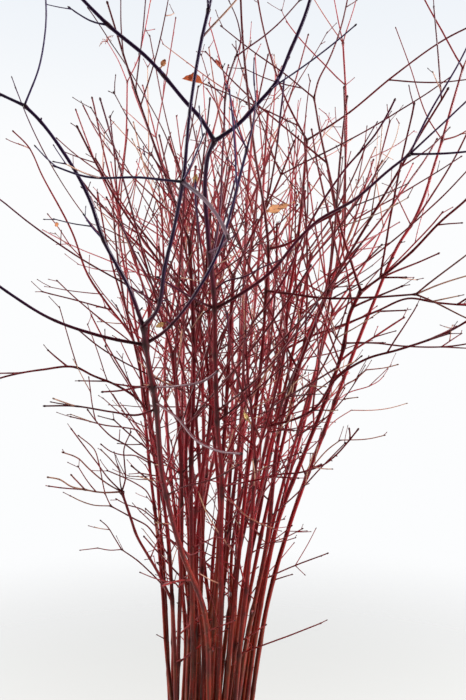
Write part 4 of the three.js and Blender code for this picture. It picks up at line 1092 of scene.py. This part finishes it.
def sprout(strand, depth, draw, out):
    # opposite pairs of twigs or spurs at the joints of a strand, each pair turned from the last
    turn = draw(0, math.pi)
    tone = strand["tone"]
    for mile in strand["nodes"]:
        turn += math.pi / 2 + either(draw, twigs["pairVaries"])
        spot = onStrand(strand, mile)
        place = spot[0]
        chance, shortest, longest, spread, lift, spurChance = zoneAt(place[2])
        if depth:
            chance, spurChance = chance * twigs["onTwigChance"] / depth, spurChance * twigs["onTwigSpurs"]
            shortest, longest = shortest * twigs["onTwigLength"], longest * twigs["onTwigLength"]
            longest = min(longest, strand["length"] * twigs["ofCarrier"])
        if place[1] < near["front"]:
            chance, longest = chance * near["chance"], longest * near["length"]
        if place[2] < twigZones[0][0] or strand["length"] - mile < twigs["tipKept"]:
            continue
        for side in (0, math.pi):
            wanted, size, bend = draw(), draw(), either(draw, twigs["spreadVaries"])
            if wanted < chance:
                length = shortest + max(longest - shortest, 0) * size ** twigs["lengthPower"]
                growTwig(spot, turn + side, spread + bend, lift, length, tone, depth, draw, out)
            elif wanted < chance + spurChance:
                length = mix(spurs["length"], size ** spurs["lengthPower"])
                growTwig(spot, turn + side, spurs["spread"] + bend, lift, length, tone, 3, draw, out)
    if 0 < depth < 3 and strand["length"] > prongs["over"]:
        # the prongs of a forked tip
        spot = onStrand(strand, strand["length"] - draw(*prongs["back"]))
        for side in (0, math.pi):
            if draw() < prongs["chance"]:
                length = draw(*prongs["length"])
                growTwig(spot, turn + side, prongs["spread"], prongs["lift"], length, tone, 3, draw, out)


def twigRoute(root, along, turn, spread, length, lift, draw):
    # an even curve: the twig bows to one side and turns upwards, the long ones first dip
    heading = leaving(along, turn, spread)
    heading = unit((heading[0], heading[1], max(heading[2], twigs["lowestRise"])))
    steps = max(2, min(6, round(length / twigs["stepLength"])))
    bow = either(draw, 1) * twigs["bow"] * min(length / twigs["bowOver"], 1) / steps
    dip = draw(*twigs["dip"]) * lift
    route = [root]
    for k in range(steps):
        rise = (lift + dip) * (2 * (k + 0.5) / steps) - dip
        rise = rise / steps * min(length / twigs["riseOver"], twigs["riseMost"])
        heading = plus(heading, (0, 0, 1), rise)
        heading = plus(heading, cross(heading, along), bow)
        heading = strayed(heading, draw, twigs["strays"])
        route.append(plus(route[-1], heading, length / steps))
    return route


def growTwig(spot, turn, spread, lift, length, tone, depth, draw, out):
    place, along, radius = spot
    route = twigRoute(place, along, turn, spread, length, lift, draw)
    while len(route) > 2 and not (inBox(route) and inFunnel(route)):
        route.pop()
    if not inBox(route):
        return
    if depth < 3:
        girth = mix(twigs["girth"], min(length / twigs["fullLength"], 1))
    else:
        girth = mix(spurs["girth"], draw())
    girth = min(girth, radius * twigs["ofRadius"])
    radii = thinning(route, girth, max(girth * twigs["tipShare"], twigs["thinnest"]))
    twigTone = clamp(tone + either(draw, twigs["toneVaries"]))
    tanChance = twigs["tanChance"] + twigs["tanOutwards"] * fromMiddle(place)
    tan = draw() < tanChance and girth < twigs["tanUnder"] and depth < 3
    twig = strandOf(route, radii, joints["everyOnTwig"], draw, twigTone, radius, (), -1.0 if tan else 0.0)
    out.append(twig)
    if depth < 2 and twig["length"] > twigs["sproutsOver"]:
        sprout(twig, depth + 1, draw, out)


def dressCane(cane):
    draw = dice(seeds["bark"] + cane)
    stalk = canes[cane][0]
    forks = forksOf(stalk["points"], stalk["sides"])
    tone = draw()
    own = []
    first = strandOf(stalk["points"], stalk["radii"], joints["everyOnCane"], draw, tone, 0, forks)
    dressGrown(stalk, first, tone, draw, own)
    fine = []
    for strand in own:
        sprout(strand, 0 if strand["girth"] > twigs["stoutOver"] else 1, draw, fine)
    return own, fine


dressed = [dressCane(cane) for cane in range(len(canes))]
# A dried flower head: fine bent stalks that spread from the tip of one shoot.
flowerHead = {
    "spot": (-196, 95, 1695),
    "setBack": 2,  # from the shoot's tip
    "stalks": 11,
    "length": (8, 26),
    "rises": 0.35,  # shares of a stalk's length
    "spreads": (0.4, 0.5),
    "droops": 0.3,
    "girth": 1.2,
    "tip": 0.9,
    "pale": -0.7,
}


def growFlowerHead():
    def offSpot(strand):
        return sizeOf(minus(tuple(strand["place"][-1]), flowerHead["spot"]))

    own, fine = min(dressed, key=lambda cane: min(offSpot(strand) for strand in cane[0]))
    carrier = min(own, key=offSpot)
    draw = dice(seeds["flower"])
    place, along, _ = onStrand(carrier, carrier["length"] - flowerHead["setBack"])
    first, second = flowerHead["spreads"]
    for k in range(flowerHead["stalks"]):
        outwards, length = sideOf(along, k * bundle["goldenTurn"]), draw(*flowerHead["length"])
        middle = plus(plus(place, along, length * flowerHead["rises"]), outwards, length * first)
        droop = length * draw(0, flowerHead["droops"])
        tip = plus(plus(middle, outwards, length * second), (0, 0, -1), droop)
        route = [place, middle, tip]
        radii = thinning(route, flowerHead["girth"], flowerHead["tip"])
        fine.append(strandOf(route, radii, joints["everyOnTwig"], draw, 1.0, 0, (), flowerHead["pale"]))


growFlowerHead()
print("twigs grown:", sum(len(fine) for _, fine in dressed))


class Flow:
    # a socket of a material, so that shader maths reads as plain sums
    def __init__(self, recipe, socket):
        self.recipe, self.socket = recipe, socket

    def work(self, operation, first, second):
        return self.recipe.node("ShaderNodeMath", {"operation": operation}, {0: first, 1: second})

    def __add__(self, other):
        return self.work("ADD", self, other)

    def __sub__(self, other):
        return self.work("SUBTRACT", self, other)

    def __mul__(self, other):
        return self.work("MULTIPLY", self, other)

    def __rsub__(self, other):
        return self.work("SUBTRACT", other, self)

    __radd__ = __add__
    __rmul__ = __mul__

    def ease(self, low, high):
        # 0 below low, 1 above high, smooth between them
        sockets = {"Value": self, "From Min": low, "From Max": high}
        return self.recipe.node("ShaderNodeMapRange", {"interpolation_type": "SMOOTHSTEP"}, sockets)


class Recipe:
    # the nodes of a material, or of a world
    def __init__(self, name, kept=None):
        self.kept = kept or bpy.data.materials.new(name)
        self.kept.use_nodes = True
        self.tree = self.kept.node_tree
        self.tree.nodes.clear()

    def node(self, kind, settings=None, sockets=None, output=0):
        made = self.tree.nodes.new(kind)
        for name, value in (settings or {}).items():
            setattr(made, name, value)
        for name, value in (sockets or {}).items():
            if isinstance(value, Flow):
                self.tree.links.new(value.socket, made.inputs[name])
            else:
                made.inputs[name].default_value = value
        return Flow(self, made.outputs[output])

    def blend(self, share, first, second):
        # a colour between two others
        return self.node("ShaderNodeMix", {"data_type": "RGBA"}, {0: share, 6: first, 7: second}, 2)

    def stretched(self, place, stretch):
        return self.node("ShaderNodeMapping", None, {"Vector": place, "Scale": stretch})

    def noise(self, place, scale, detail, stretch=(1, 1, 1)):
        sockets = {"Vector": self.stretched(place, stretch), "Scale": scale, "Detail": detail}
        return self.node("ShaderNodeTexNoise", None, sockets)

    def specks(self, place, scale):
        return self.node("ShaderNodeTexVoronoi", None, {"Vector": place, "Scale": scale}, "Distance")

    def parts(self, vector):
        return [self.node("ShaderNodeSeparateXYZ", None, {"Vector": vector}, axis) for axis in range(3)]

    def bump(self, strength, distance, height):
        sockets = {"Strength": strength, "Distance": distance, "Height": height}
        return self.node("ShaderNodeBump", None, sockets)

    def coordinate(self, output="Object"):
        return self.node("ShaderNodeTexCoord", output=output)

    def attribute(self, name, output="Vector"):
        return self.node("ShaderNodeAttribute", {"attribute_name": name}, None, output)

    def skin(self, sockets):
        return self.node("ShaderNodeBsdfPrincipled", None, sockets)

    def finish(self, shader, output="ShaderNodeOutputMaterial"):
        made = self.tree.nodes.new(output)
        self.tree.links.new(shader.socket, made.inputs["Surface"])
        return self.kept


def paint(red, green, blue):
    # a paint chip's 0 to 255 numbers as the light that the shader wants
    chip = (red, green, blue)
    return tuple(((c / 255 + 0.055) / 1.055) ** 2.4 if c > 10 else c / 3295 for c in chip) + (1.0,)


bark = {
    "crimson": paint(140, 18, 26),
    "rose": paint(176, 48, 56),
    "maroon": paint(72, 10, 20),
    "oldBrown": paint(104, 50, 30),
    "oldRust": paint(132, 34, 18),
    # painted shade, nearly black, for the foremost arms, a little lighter on their thin twigs
    "paintedShade": paint(32, 14, 48),
    "thinPaintedShade": paint(66, 52, 98),
    # painted glow, rosy, for the back of the bundle
    "paintedGlow": paint(184, 76, 82),
    # painted sheen, greyish pink, for the shoots with a pale over 0
    "paintedSheenPink": paint(116, 82, 92),
    "tan": paint(200, 154, 126),
    "joint": paint(48, 20, 20),
    "speck": paint(172, 120, 104),
    "roughness": 0.26,
    # metres over the floor, behind the middle or before it, between which a colour sets in
    "youngAbove": (0.62, 0.98),
    "paintedGlowBehind": (-0.12, 0.16),
    "paintedGlowAbove": (0.75, 1.0),
    # where painted shade darkens the front of the bundle, and its highest twigs in front
    "frontShadeBefore": (0.05, 0.22),
    "frontShadeAbove": (0.8, 1.0),
    "topShadeAbove": (1.3, 1.62),
    "topShadeBefore": 0.08,
    "topShadeFade": (0, 0.16),
    "paintedShadeBefore": (0.22, 0.4),
    "paintedShadeAbove": (1.08, 1.2),
}


def makeBark():
    recipe = Recipe("dogwood bark")
    place = recipe.coordinate()
    tone, knot, thin = recipe.parts(recipe.attribute("bark"))
    pale = recipe.attribute("bark", "Alpha")
    dried = (0 - pale).ease(0, 1)
    _, depth, height = recipe.parts(place)
    streaks = recipe.noise(place, 1, 3, (300, 300, 16))
    patches = recipe.noise(place, 11, 2)
    grain = recipe.noise(place, 1, 2, (900, 900, 120))
    specks = recipe.specks(recipe.stretched(place, (330, 330, 150)), 1)
    # young bark is crimson, rosier on thin twigs, with darker stretches
    young = recipe.blend((tone * 0.6 + thin * 0.4).ease(0.15, 1.0), bark["crimson"], bark["rose"])
    dark = (patches * 0.5 + streaks * 0.5 + tone * 0.2).ease(0.42, 0.72)
    young = recipe.blend(dark * 0.75, young, bark["maroon"])
    # towards the cut end it turns brown, streaked with rust
    old = recipe.blend(streaks.ease(0.4, 0.6), bark["oldBrown"], bark["oldRust"])
    old = recipe.blend(patches.ease(0.45, 0.75) * 0.8, old, bark["maroon"])
    aged = (1 - (height + patches * 0.3 - tone * 0.1).ease(*bark["youngAbove"])) * (1 - thin * 0.6)
    colour = recipe.blend(aged, young, old)
    colour = recipe.blend((1 - specks.ease(0.1, 0.24)) * 0.45 * (1 - thin), colour, bark["speck"])
    # painted light and shade by place in the bundle: a painted rosy glow at the back, painted shade in front
    # and on the highest twigs in front, and nearly black painted shade on the foremost arms
    before = 0 - depth
    # painted glow: rosier towards the back of the bundle, higher up
    behind = depth.ease(*bark["paintedGlowBehind"]) * height.ease(*bark["paintedGlowAbove"])
    colour = recipe.blend(behind * 0.7, colour, bark["paintedGlow"])
    # painted shade: darker in front of the middle, higher up
    front = before.ease(*bark["frontShadeBefore"]) * height.ease(*bark["frontShadeAbove"])
    colour = recipe.blend(front * 0.7, colour, bark["maroon"])
    # painted shade on the highest twigs that stand in front
    topShade = height.ease(*bark["topShadeAbove"]) * (bark["topShadeBefore"] - depth).ease(*bark["topShadeFade"])
    colour = recipe.blend(topShade * 0.6, colour, bark["maroon"])
    # painted shade on the foremost arms: nearly black, lighter on thin twigs
    paintedShade = recipe.blend(thin.ease(0.4, 0.9) * 0.6, bark["paintedShade"], bark["thinPaintedShade"])
    shaded = before.ease(*bark["paintedShadeBefore"]) * height.ease(*bark["paintedShadeAbove"])
    colour = recipe.blend(shaded * 0.93, colour, paintedShade)
    # painted sheen: greyish pink where pale is over 0
    colour = recipe.blend(pale.ease(0, 1) * (0.75 + streaks * 0.4), colour, bark["paintedSheenPink"])
    colour = recipe.blend(dried * (0.7 + streaks * 0.5), colour, bark["tan"])
    colour = recipe.blend(knot * 0.7, colour, bark["joint"])
    relief = grain * 0.5 + streaks * 0.8 - knot * grain
    sockets = {
        "Base Color": colour,
        "Roughness": bark["roughness"] + grain * 0.14 + knot * 0.15,
        "Specular IOR Level": 0.22,
        "Normal": recipe.bump(0.35, 0.0006, relief),
    }
    return recipe.finish(recipe.skin(sockets))


dryLeaf = {
    "tan": paint(236, 172, 122),
    "rust": paint(230, 108, 60),
    "green": paint(196, 188, 116),
    "vein": paint(222, 150, 116),
    "spot": paint(112, 40, 28),
}


def makeDryLeaf():
    recipe = Recipe("dried leaf")
    place = recipe.coordinate()
    across, along, _ = recipe.parts(recipe.coordinate("UV"))
    tint, green, brown = recipe.parts(recipe.attribute("leaf"))
    out = recipe.node("ShaderNodeMath", {"operation": "ABSOLUTE"}, {0: across - 0.5}) * 2
    rib = 1 - out.ease(0.02, 0.09)
    sideRibs = recipe.node("ShaderNodeMath", {"operation": "SINE"}, {0: (along - out * out * 0.16) * 42})
    veins = recipe.node("ShaderNodeMath", {"operation": "MAXIMUM"}, {0: rib, 1: sideRibs.ease(0.86, 1) * 0.6})
    mottle = recipe.noise(place, 240, 4)
    blotch = recipe.noise(place, 170, 2)
    colour = recipe.blend((tint + (mottle - 0.5) * 0.9).ease(0.1, 1), dryLeaf["tan"], dryLeaf["rust"])
    colour = recipe.blend(green * mottle.ease(0.25, 0.6), colour, dryLeaf["green"])
    colour = recipe.blend(veins * 0.5, colour, dryLeaf["vein"])
    edge = (out + mottle * 0.4).ease(0.95, 1.25)
    colour = recipe.blend(edge * 0.8, colour, dryLeaf["spot"])
    colour = recipe.blend(blotch.ease(0.5, 0.62) * 0.75, colour, dryLeaf["spot"])
    colour = recipe.blend(brown, colour, dryLeaf["spot"])
    sockets = {
        "Base Color": colour,
        "Roughness": 0.66 + mottle * 0.2,
        "Specular IOR Level": 0.3,
        "Emission Color": colour,  # light from behind shows through the blade
        "Emission Strength": 0.22,
        "Normal": recipe.bump(0.6, 0.0008, veins * 0.7 + mottle * 0.5),
    }
    return recipe.finish(recipe.skin(sockets))


glaze = {
    "body": paint(186, 181, 172),
    "thin": paint(160, 149, 134),
    "speck": paint(150, 132, 112),
    "bare": paint(190, 164, 138),
    "thinAbove": (0.4462, 0.4495),  # the glaze runs thin on the lip
    "bareBelow": (0.0045, 0.006),
}


def makeGlaze():
    recipe = Recipe("pale glaze")
    place = recipe.coordinate()
    _, _, height = recipe.parts(place)
    clouds = recipe.noise(place, 9, 3)
    rings = recipe.noise(place, 1, 2, (3, 3, 130))
    specks = 1 - recipe.specks(place, 170).ease(0.05, 0.13)
    colour = recipe.blend(clouds.ease(0.4, 0.75) * 0.5, glaze["body"], glaze["thin"])
    colour = recipe.blend(specks * clouds.ease(0.45, 0.6) * 0.7, colour, glaze["speck"])
    colour = recipe.blend(height.ease(*glaze["thinAbove"]) * 0.55, colour, glaze["thin"])
    bareFoot = 1 - (height + clouds * 0.002).ease(*glaze["bareBelow"])
    colour = recipe.blend(bareFoot, colour, glaze["bare"])
    sockets = {
        "Base Color": colour,
        "Roughness": 0.2 + clouds * 0.14 + bareFoot * 0.45,
        "Coat Weight": 0.5 - bareFoot * 0.5,
        "Coat Roughness": 0.12,
        "Normal": recipe.bump(0.25, 0.0012, rings * 0.6 + clouds * 0.5),
    }
    return recipe.finish(recipe.skin(sockets))


def makeWater():
    recipe = Recipe("vase water")
    place = recipe.coordinate()
    murk = recipe.noise(place, 14, 3)
    sockets = {
        "Base Color": recipe.blend(murk, paint(214, 224, 208), paint(176, 190, 166)),
        "Roughness": 0.03 + murk * 0.03,
        "IOR": 1.333,
        "Transmission Weight": 0.9,
        "Normal": recipe.bump(0.08, 0.001, recipe.noise(place, 30, 1)),
    }
    return recipe.finish(recipe.skin(sockets))


barkFinish = makeBark()
leafFinish = makeDryLeaf()
glazeFinish = makeGlaze()
waterFinish = makeWater()
print("finishes made")


def stand(name, data):
    # a new object in the scene
    piece = bpy.data.objects.new(name, data)
    bpy.context.scene.collection.objects.link(piece)
    return piece


def finishPiece(piece, finish, node):
    # the one body of the part carries every piece, which stands for one solid
    piece.data.materials.clear()
    piece.data.materials.append(finish)
    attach(piece, "root")
    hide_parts(node)


def meshFrom(bm, name):
    mesh = bpy.data.meshes.new(name)
    bm.to_mesh(mesh)
    bm.free()
    return mesh


# how round the bark tubes are, by the girth over which a strand is made so
barkTubes = ((3, 7), (1, 2.9), (0, 0))
barkMarks = {"thinnest": 0.7, "thinRange": 2.6, "paleAtRoot": 0.4}


def tubesOf(name, strands, resolution):
    # round bark along each strand, with what the bark material reads at every ring
    curve = bpy.data.curves.new(name, "CURVE")
    curve.dimensions = "3D"
    curve.bevel_depth = 0.001  # so that each ring's radius is in millimetres
    curve.bevel_resolution = resolution
    marks = []
    for strand in strands:
        count = len(strand["miles"])
        spline = curve.splines.new("POLY")
        spline.points.add(count - 1)
        spline.points.foreach_set("co", np.hstack([strand["place"] / 1000, np.ones((count, 1))]).ravel())
        spline.points.foreach_set("radius", strand["radius"])
        thin = 1 - np.clip((strand["radius"] - barkMarks["thinnest"]) / barkMarks["thinRange"], 0, 1)
        tones = np.full(count, strand["tone"])
        # a pale over 0 paints a sheen and one under 0 dries the bark to tan, both rising from root to tip
        pales = strand["pale"] * np.linspace(barkMarks["paleAtRoot"], 1, count)
        marks.append(np.stack([tones, strand["knot"], thin, pales], axis=1))
    holder = bpy.data.objects.new(name, curve)
    mesh = bpy.data.meshes.new_from_object(holder)
    bpy.data.objects.remove(holder)
    bpy.data.curves.remove(curve)
    marks = np.concatenate(marks)
    sides = len(mesh.vertices) // len(marks)
    layer = mesh.attributes.new("bark", "FLOAT_COLOR", "POINT")
    layer.data.foreach_set("color", np.repeat(marks, sides, axis=0).astype(np.float32).ravel())
    bm = bmesh.new()
    bm.from_mesh(mesh)
    bmesh.ops.holes_fill(bm, edges=[edge for edge in bm.edges if edge.is_boundary], sides=sides)
    bm.to_mesh(mesh)
    bm.free()
    mesh.shade_smooth()
    return mesh


def makeCane(cane):
    own, fine = dressed[cane]
    parts, most = [], math.inf
    for resolution, least in barkTubes:
        chosen = [strand for strand in own + fine if least < strand["girth"] <= most]
        most = least
        if chosen:
            tubes = tubesOf("bark", chosen, resolution)
            parts.append(stand(f"dogwood_cane_{cane + 1:02d}", tubes))
    with bpy.context.temp_override(active_object=parts[0], selected_editable_objects=parts):
        bpy.ops.object.join()
    finishPiece(parts[0], barkFinish, f"cane_{cane + 1:02d}")
    return len(parts[0].data.polygons)


faces = sum(makeCane(cane) for cane in range(len(canes)))
print("canes made:", faces, "faces")

leafBlade = {
    "thickness": 0.0005,
    "rows": 26,
    "columns": 10,
    "setsIn": 0.2,  # share of the blade over which its edge and crinkles set in
    "ragged": 0.16,
    "tearWaves": (31, 53),
    "lobeWave": 15,
    "crinkle": 0.7,
    "crinkleWave": 24,
}


def makeLeaf(index, leaf):
    plan, draw = leaf["plan"], dice(seeds["blade"] + index)
    bm = bmesh.new()
    blade = bm.loops.layers.uv.new("blade")
    bmesh.ops.create_grid(bm, x_segments=leafBlade["columns"], y_segments=leafBlade["rows"], size=1)
    for face in bm.faces:
        for loop in face.loops:
            loop[blade].uv = ((loop.vert.co.x + 1) / 2, (loop.vert.co.y + 1) / 2)
    phase = draw(0, 6)
    for vert in bm.verts:
        across, share = vert.co.x, (vert.co.y + 1) / 2
        half = leafHalf(plan, share)
        bladeShare = clamp((share - leafCut["stalkShare"]) / leafBlade["setsIn"])
        slow, fast = leafBlade["tearWaves"]
        torn = math.sin(share * slow + phase)
        torn *= math.sin(share * fast + 2 * phase * (1 if across > 0 else -1))
        lobe = math.cos(share * leafBlade["lobeWave"] + (phase if across > 0 else 0))
        notch = leafBlade["ragged"] * (0.5 + 0.5 * torn) + plan["lobes"] * (0.5 + 0.5 * lobe)
        half *= 1 - bladeShare * notch
        crinkle = leafBlade["crinkle"] * bladeShare * abs(across)
        ruffle = crinkle * math.sin(share * leafBlade["crinkleWave"] + phase + (2 if across > 0 else 0))
        stalk = leafCut["stalkWidth"] / 2
        out = stalk + max(half - stalk, 0) * math.cos(plan["fold"])
        raised = abs(across) * max(half - stalk, 0) * math.sin(plan["fold"]) + ruffle
        ahead, over = leafMiddle(plan, share)
        turn = plan["curl"] * share
        spot = plus(leaf["root"], leaf["side"], across * out)
        spot = plus(spot, leaf["heading"], ahead - raised * math.sin(turn))
        spot = plus(spot, leaf["above"], over + raised * math.cos(turn))
        vert.co = timesOf(spot, 0.001)
    mesh = meshFrom(bm, f"dogwood_leaf_{index + 1}")
    layer = mesh.attributes.new("leaf", "FLOAT_COLOR", "POINT")
    for entry in layer.data:
        entry.color = (plan["tint"], plan["green"], plan["brown"], 1)
    mesh.shade_smooth()
    piece = stand(mesh.name, mesh)
    finishPiece(piece, leafFinish, f"leaf_{index + 1}")
    skin = piece.modifiers.new("blade", "SOLIDIFY")
    skin.thickness = leafBlade["thickness"]
    skin.offset = 0


for index, leaf in enumerate(leaves):
    makeLeaf(index, leaf)
print("leaves made:", len(leaves))

vase = {
    "height": 0.45,
    "footRadius": 0.088,
    "mouthRadius": 0.098,
    "belly": 0.018,
    "wall": 0.009,
    "floor": 0.012,
    "footBevel": 0.003,
    "hollow": 0.0012,  # under the foot, inside its ring
    "ringInside": 0.018,  # how far in from the foot's radius the ring starts, and stands level
    "ringLevel": 0.0165,
    "ringEdge": 0.001,
    "bevelInset": 0.0002,
    "rows": 36,
    "sides": 120,
}


def vaseRadius(z):
    share = z / vase["height"]
    straight = vase["footRadius"] + (vase["mouthRadius"] - vase["footRadius"]) * share
    return straight + vase["belly"] * math.sin(math.pi * share)


def makeVase():
    lip = vase["wall"] / 2
    lipHeight = vase["height"] - lip
    bevel, foot = vase["footBevel"], vase["footRadius"]
    profile = [(0, vase["hollow"]), (foot - vase["ringInside"], vase["hollow"])]
    profile += [(foot - vase["ringLevel"], 0), (foot - bevel - vase["ringEdge"], 0)]
    for k in range(4):
        turn = math.pi / 2 * k / 3
        out = foot - bevel + bevel * math.sin(turn) - vase["bevelInset"]
        profile.append((out, bevel - bevel * math.cos(turn)))
    for k in range(1, vase["rows"] + 1):
        z = bevel + (lipHeight - bevel) * k / vase["rows"]
        profile.append((vaseRadius(z), z))
    for k in range(1, 10):
        turn = math.pi * k / 10
        out = vaseRadius(lipHeight) - lip + lip * math.cos(turn)
        profile.append((out, lipHeight + lip * math.sin(turn)))
    for k in range(vase["rows"], -1, -1):
        z = vase["floor"] + (lipHeight - vase["floor"]) * k / vase["rows"]
        profile.append((vaseRadius(z) - vase["wall"], z))
    profile.append((0, vase["floor"]))
    bm = bmesh.new()
    verts = [bm.verts.new((x, 0, z)) for x, z in profile]
    edges = [bm.edges.new(pair) for pair in zip(verts, verts[1:])]
    whole = {"cent": (0, 0, 0), "axis": (0, 0, 1), "angle": 2 * math.pi, "use_merge": True}
    bmesh.ops.spin(bm, geom=verts + edges, steps=vase["sides"], **whole)
    bmesh.ops.remove_doubles(bm, verts=bm.verts, dist=1e-6)
    bmesh.ops.recalc_face_normals(bm, faces=bm.faces)
    mesh = meshFrom(bm, "floor_vase")
    mesh.shade_smooth()
    finishPiece(stand("floor_vase", mesh), glazeFinish, "vase")


makeVase()
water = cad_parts["water"]
water.data.materials.clear()
water.data.materials.append(waterFinish)
print("vase and water made")

studio = {
    "level": paint(252, 253, 254),  # the backdrop at eye level, and higher up
    "high": paint(238, 243, 249),
    "highAbove": (0.24, 0.5),
    "floor": paint(191, 191, 188),
    "floorRadius": 9,
    "floorSides": 96,
    "floorUnder": 0.0005,  # so far under the foot
    "fades": (0.5, 2.7),  # metres from the vase over which the floor fades out
    "behind": (0.8, 0.8, 0.83, 1),  # the light that comes from behind the bundle
    "before": (0.03, 0.03, 0.033, 1),  # and the dim light from the viewer's side
    "turns": (-0.5, 0.8),
    "aim": (0, 0, 1.1),
    # power, width and place of each soft box
    "key": (150, 1.0, (2.5, -0.5, 1.9)),
    "side": (110, 1.0, (-2.5, -0.2, 1.7)),
    "top": (16, 1.6, (-0.3, 0.2, 3.3)),
}


def makeFloor():
    bm = bmesh.new()
    sides, radius = studio["floorSides"], studio["floorRadius"]
    bmesh.ops.create_circle(bm, cap_ends=True, segments=sides, radius=radius)
    mesh = meshFrom(bm, "studio_floor")
    floor = stand("studio_floor", mesh)
    floor.location.z = -studio["floorUnder"]
    recipe = Recipe("studio floor")
    spot = recipe.coordinate()
    far = recipe.node("ShaderNodeVectorMath", {"operation": "LENGTH"}, {0: spot}, "Value")
    matt = recipe.skin({"Base Color": studio["floor"], "Roughness": 0.8, "Specular IOR Level": 0.2})
    clear = recipe.node("ShaderNodeBsdfTransparent")
    sockets = {0: far.ease(*studio["fades"]), 1: matt, 2: clear}
    mesh.materials.append(recipe.finish(recipe.node("ShaderNodeMixShader", None, sockets)))


def softBox(sort):
    light = bpy.data.lights.new(f"{sort} soft box", "AREA")
    light.energy, light.size, spot = studio[sort]
    box = stand(light.name, light)
    box.location = spot
    away = minus(spot, studio["aim"])
    tilt = math.atan2(math.hypot(away[0], away[1]), away[2])
    box.rotation_euler = (tilt, 0, math.atan2(away[0], -away[1]))


def makeWorld():
    recipe = Recipe("studio", bpy.data.worlds.new("studio"))
    _, ahead, rise = recipe.parts(recipe.coordinate("Generated"))
    seen = recipe.node("ShaderNodeLightPath")
    backdrop = recipe.blend(rise.ease(*studio["highAbove"]), studio["level"], studio["high"])
    glow = recipe.blend(ahead.ease(*studio["turns"]), studio["before"], studio["behind"])
    sky = recipe.node("ShaderNodeBackground", None, {"Color": recipe.blend(seen, glow, backdrop)})
    bpy.context.scene.world = recipe.finish(sky, "ShaderNodeOutputWorld")


makeFloor()
for sort in ("key", "side", "top"):
    softBox(sort)
makeWorld()
bpy.context.scene.view_settings.view_transform = "Standard"

eye = {"x": 0.044, "y": -1.2, "z": 1.107, "lens": 35, "sensor": 36}
camera = bpy.data.cameras.new("camera")
camera.lens, camera.sensor_width = eye["lens"], eye["sensor"]
viewer = stand("camera", camera)
viewer.location = (eye["x"], eye["y"], eye["z"])
viewer.rotation_euler = (math.pi / 2, 0, 0)
bpy.context.scene.camera = viewer
print("studio lit")
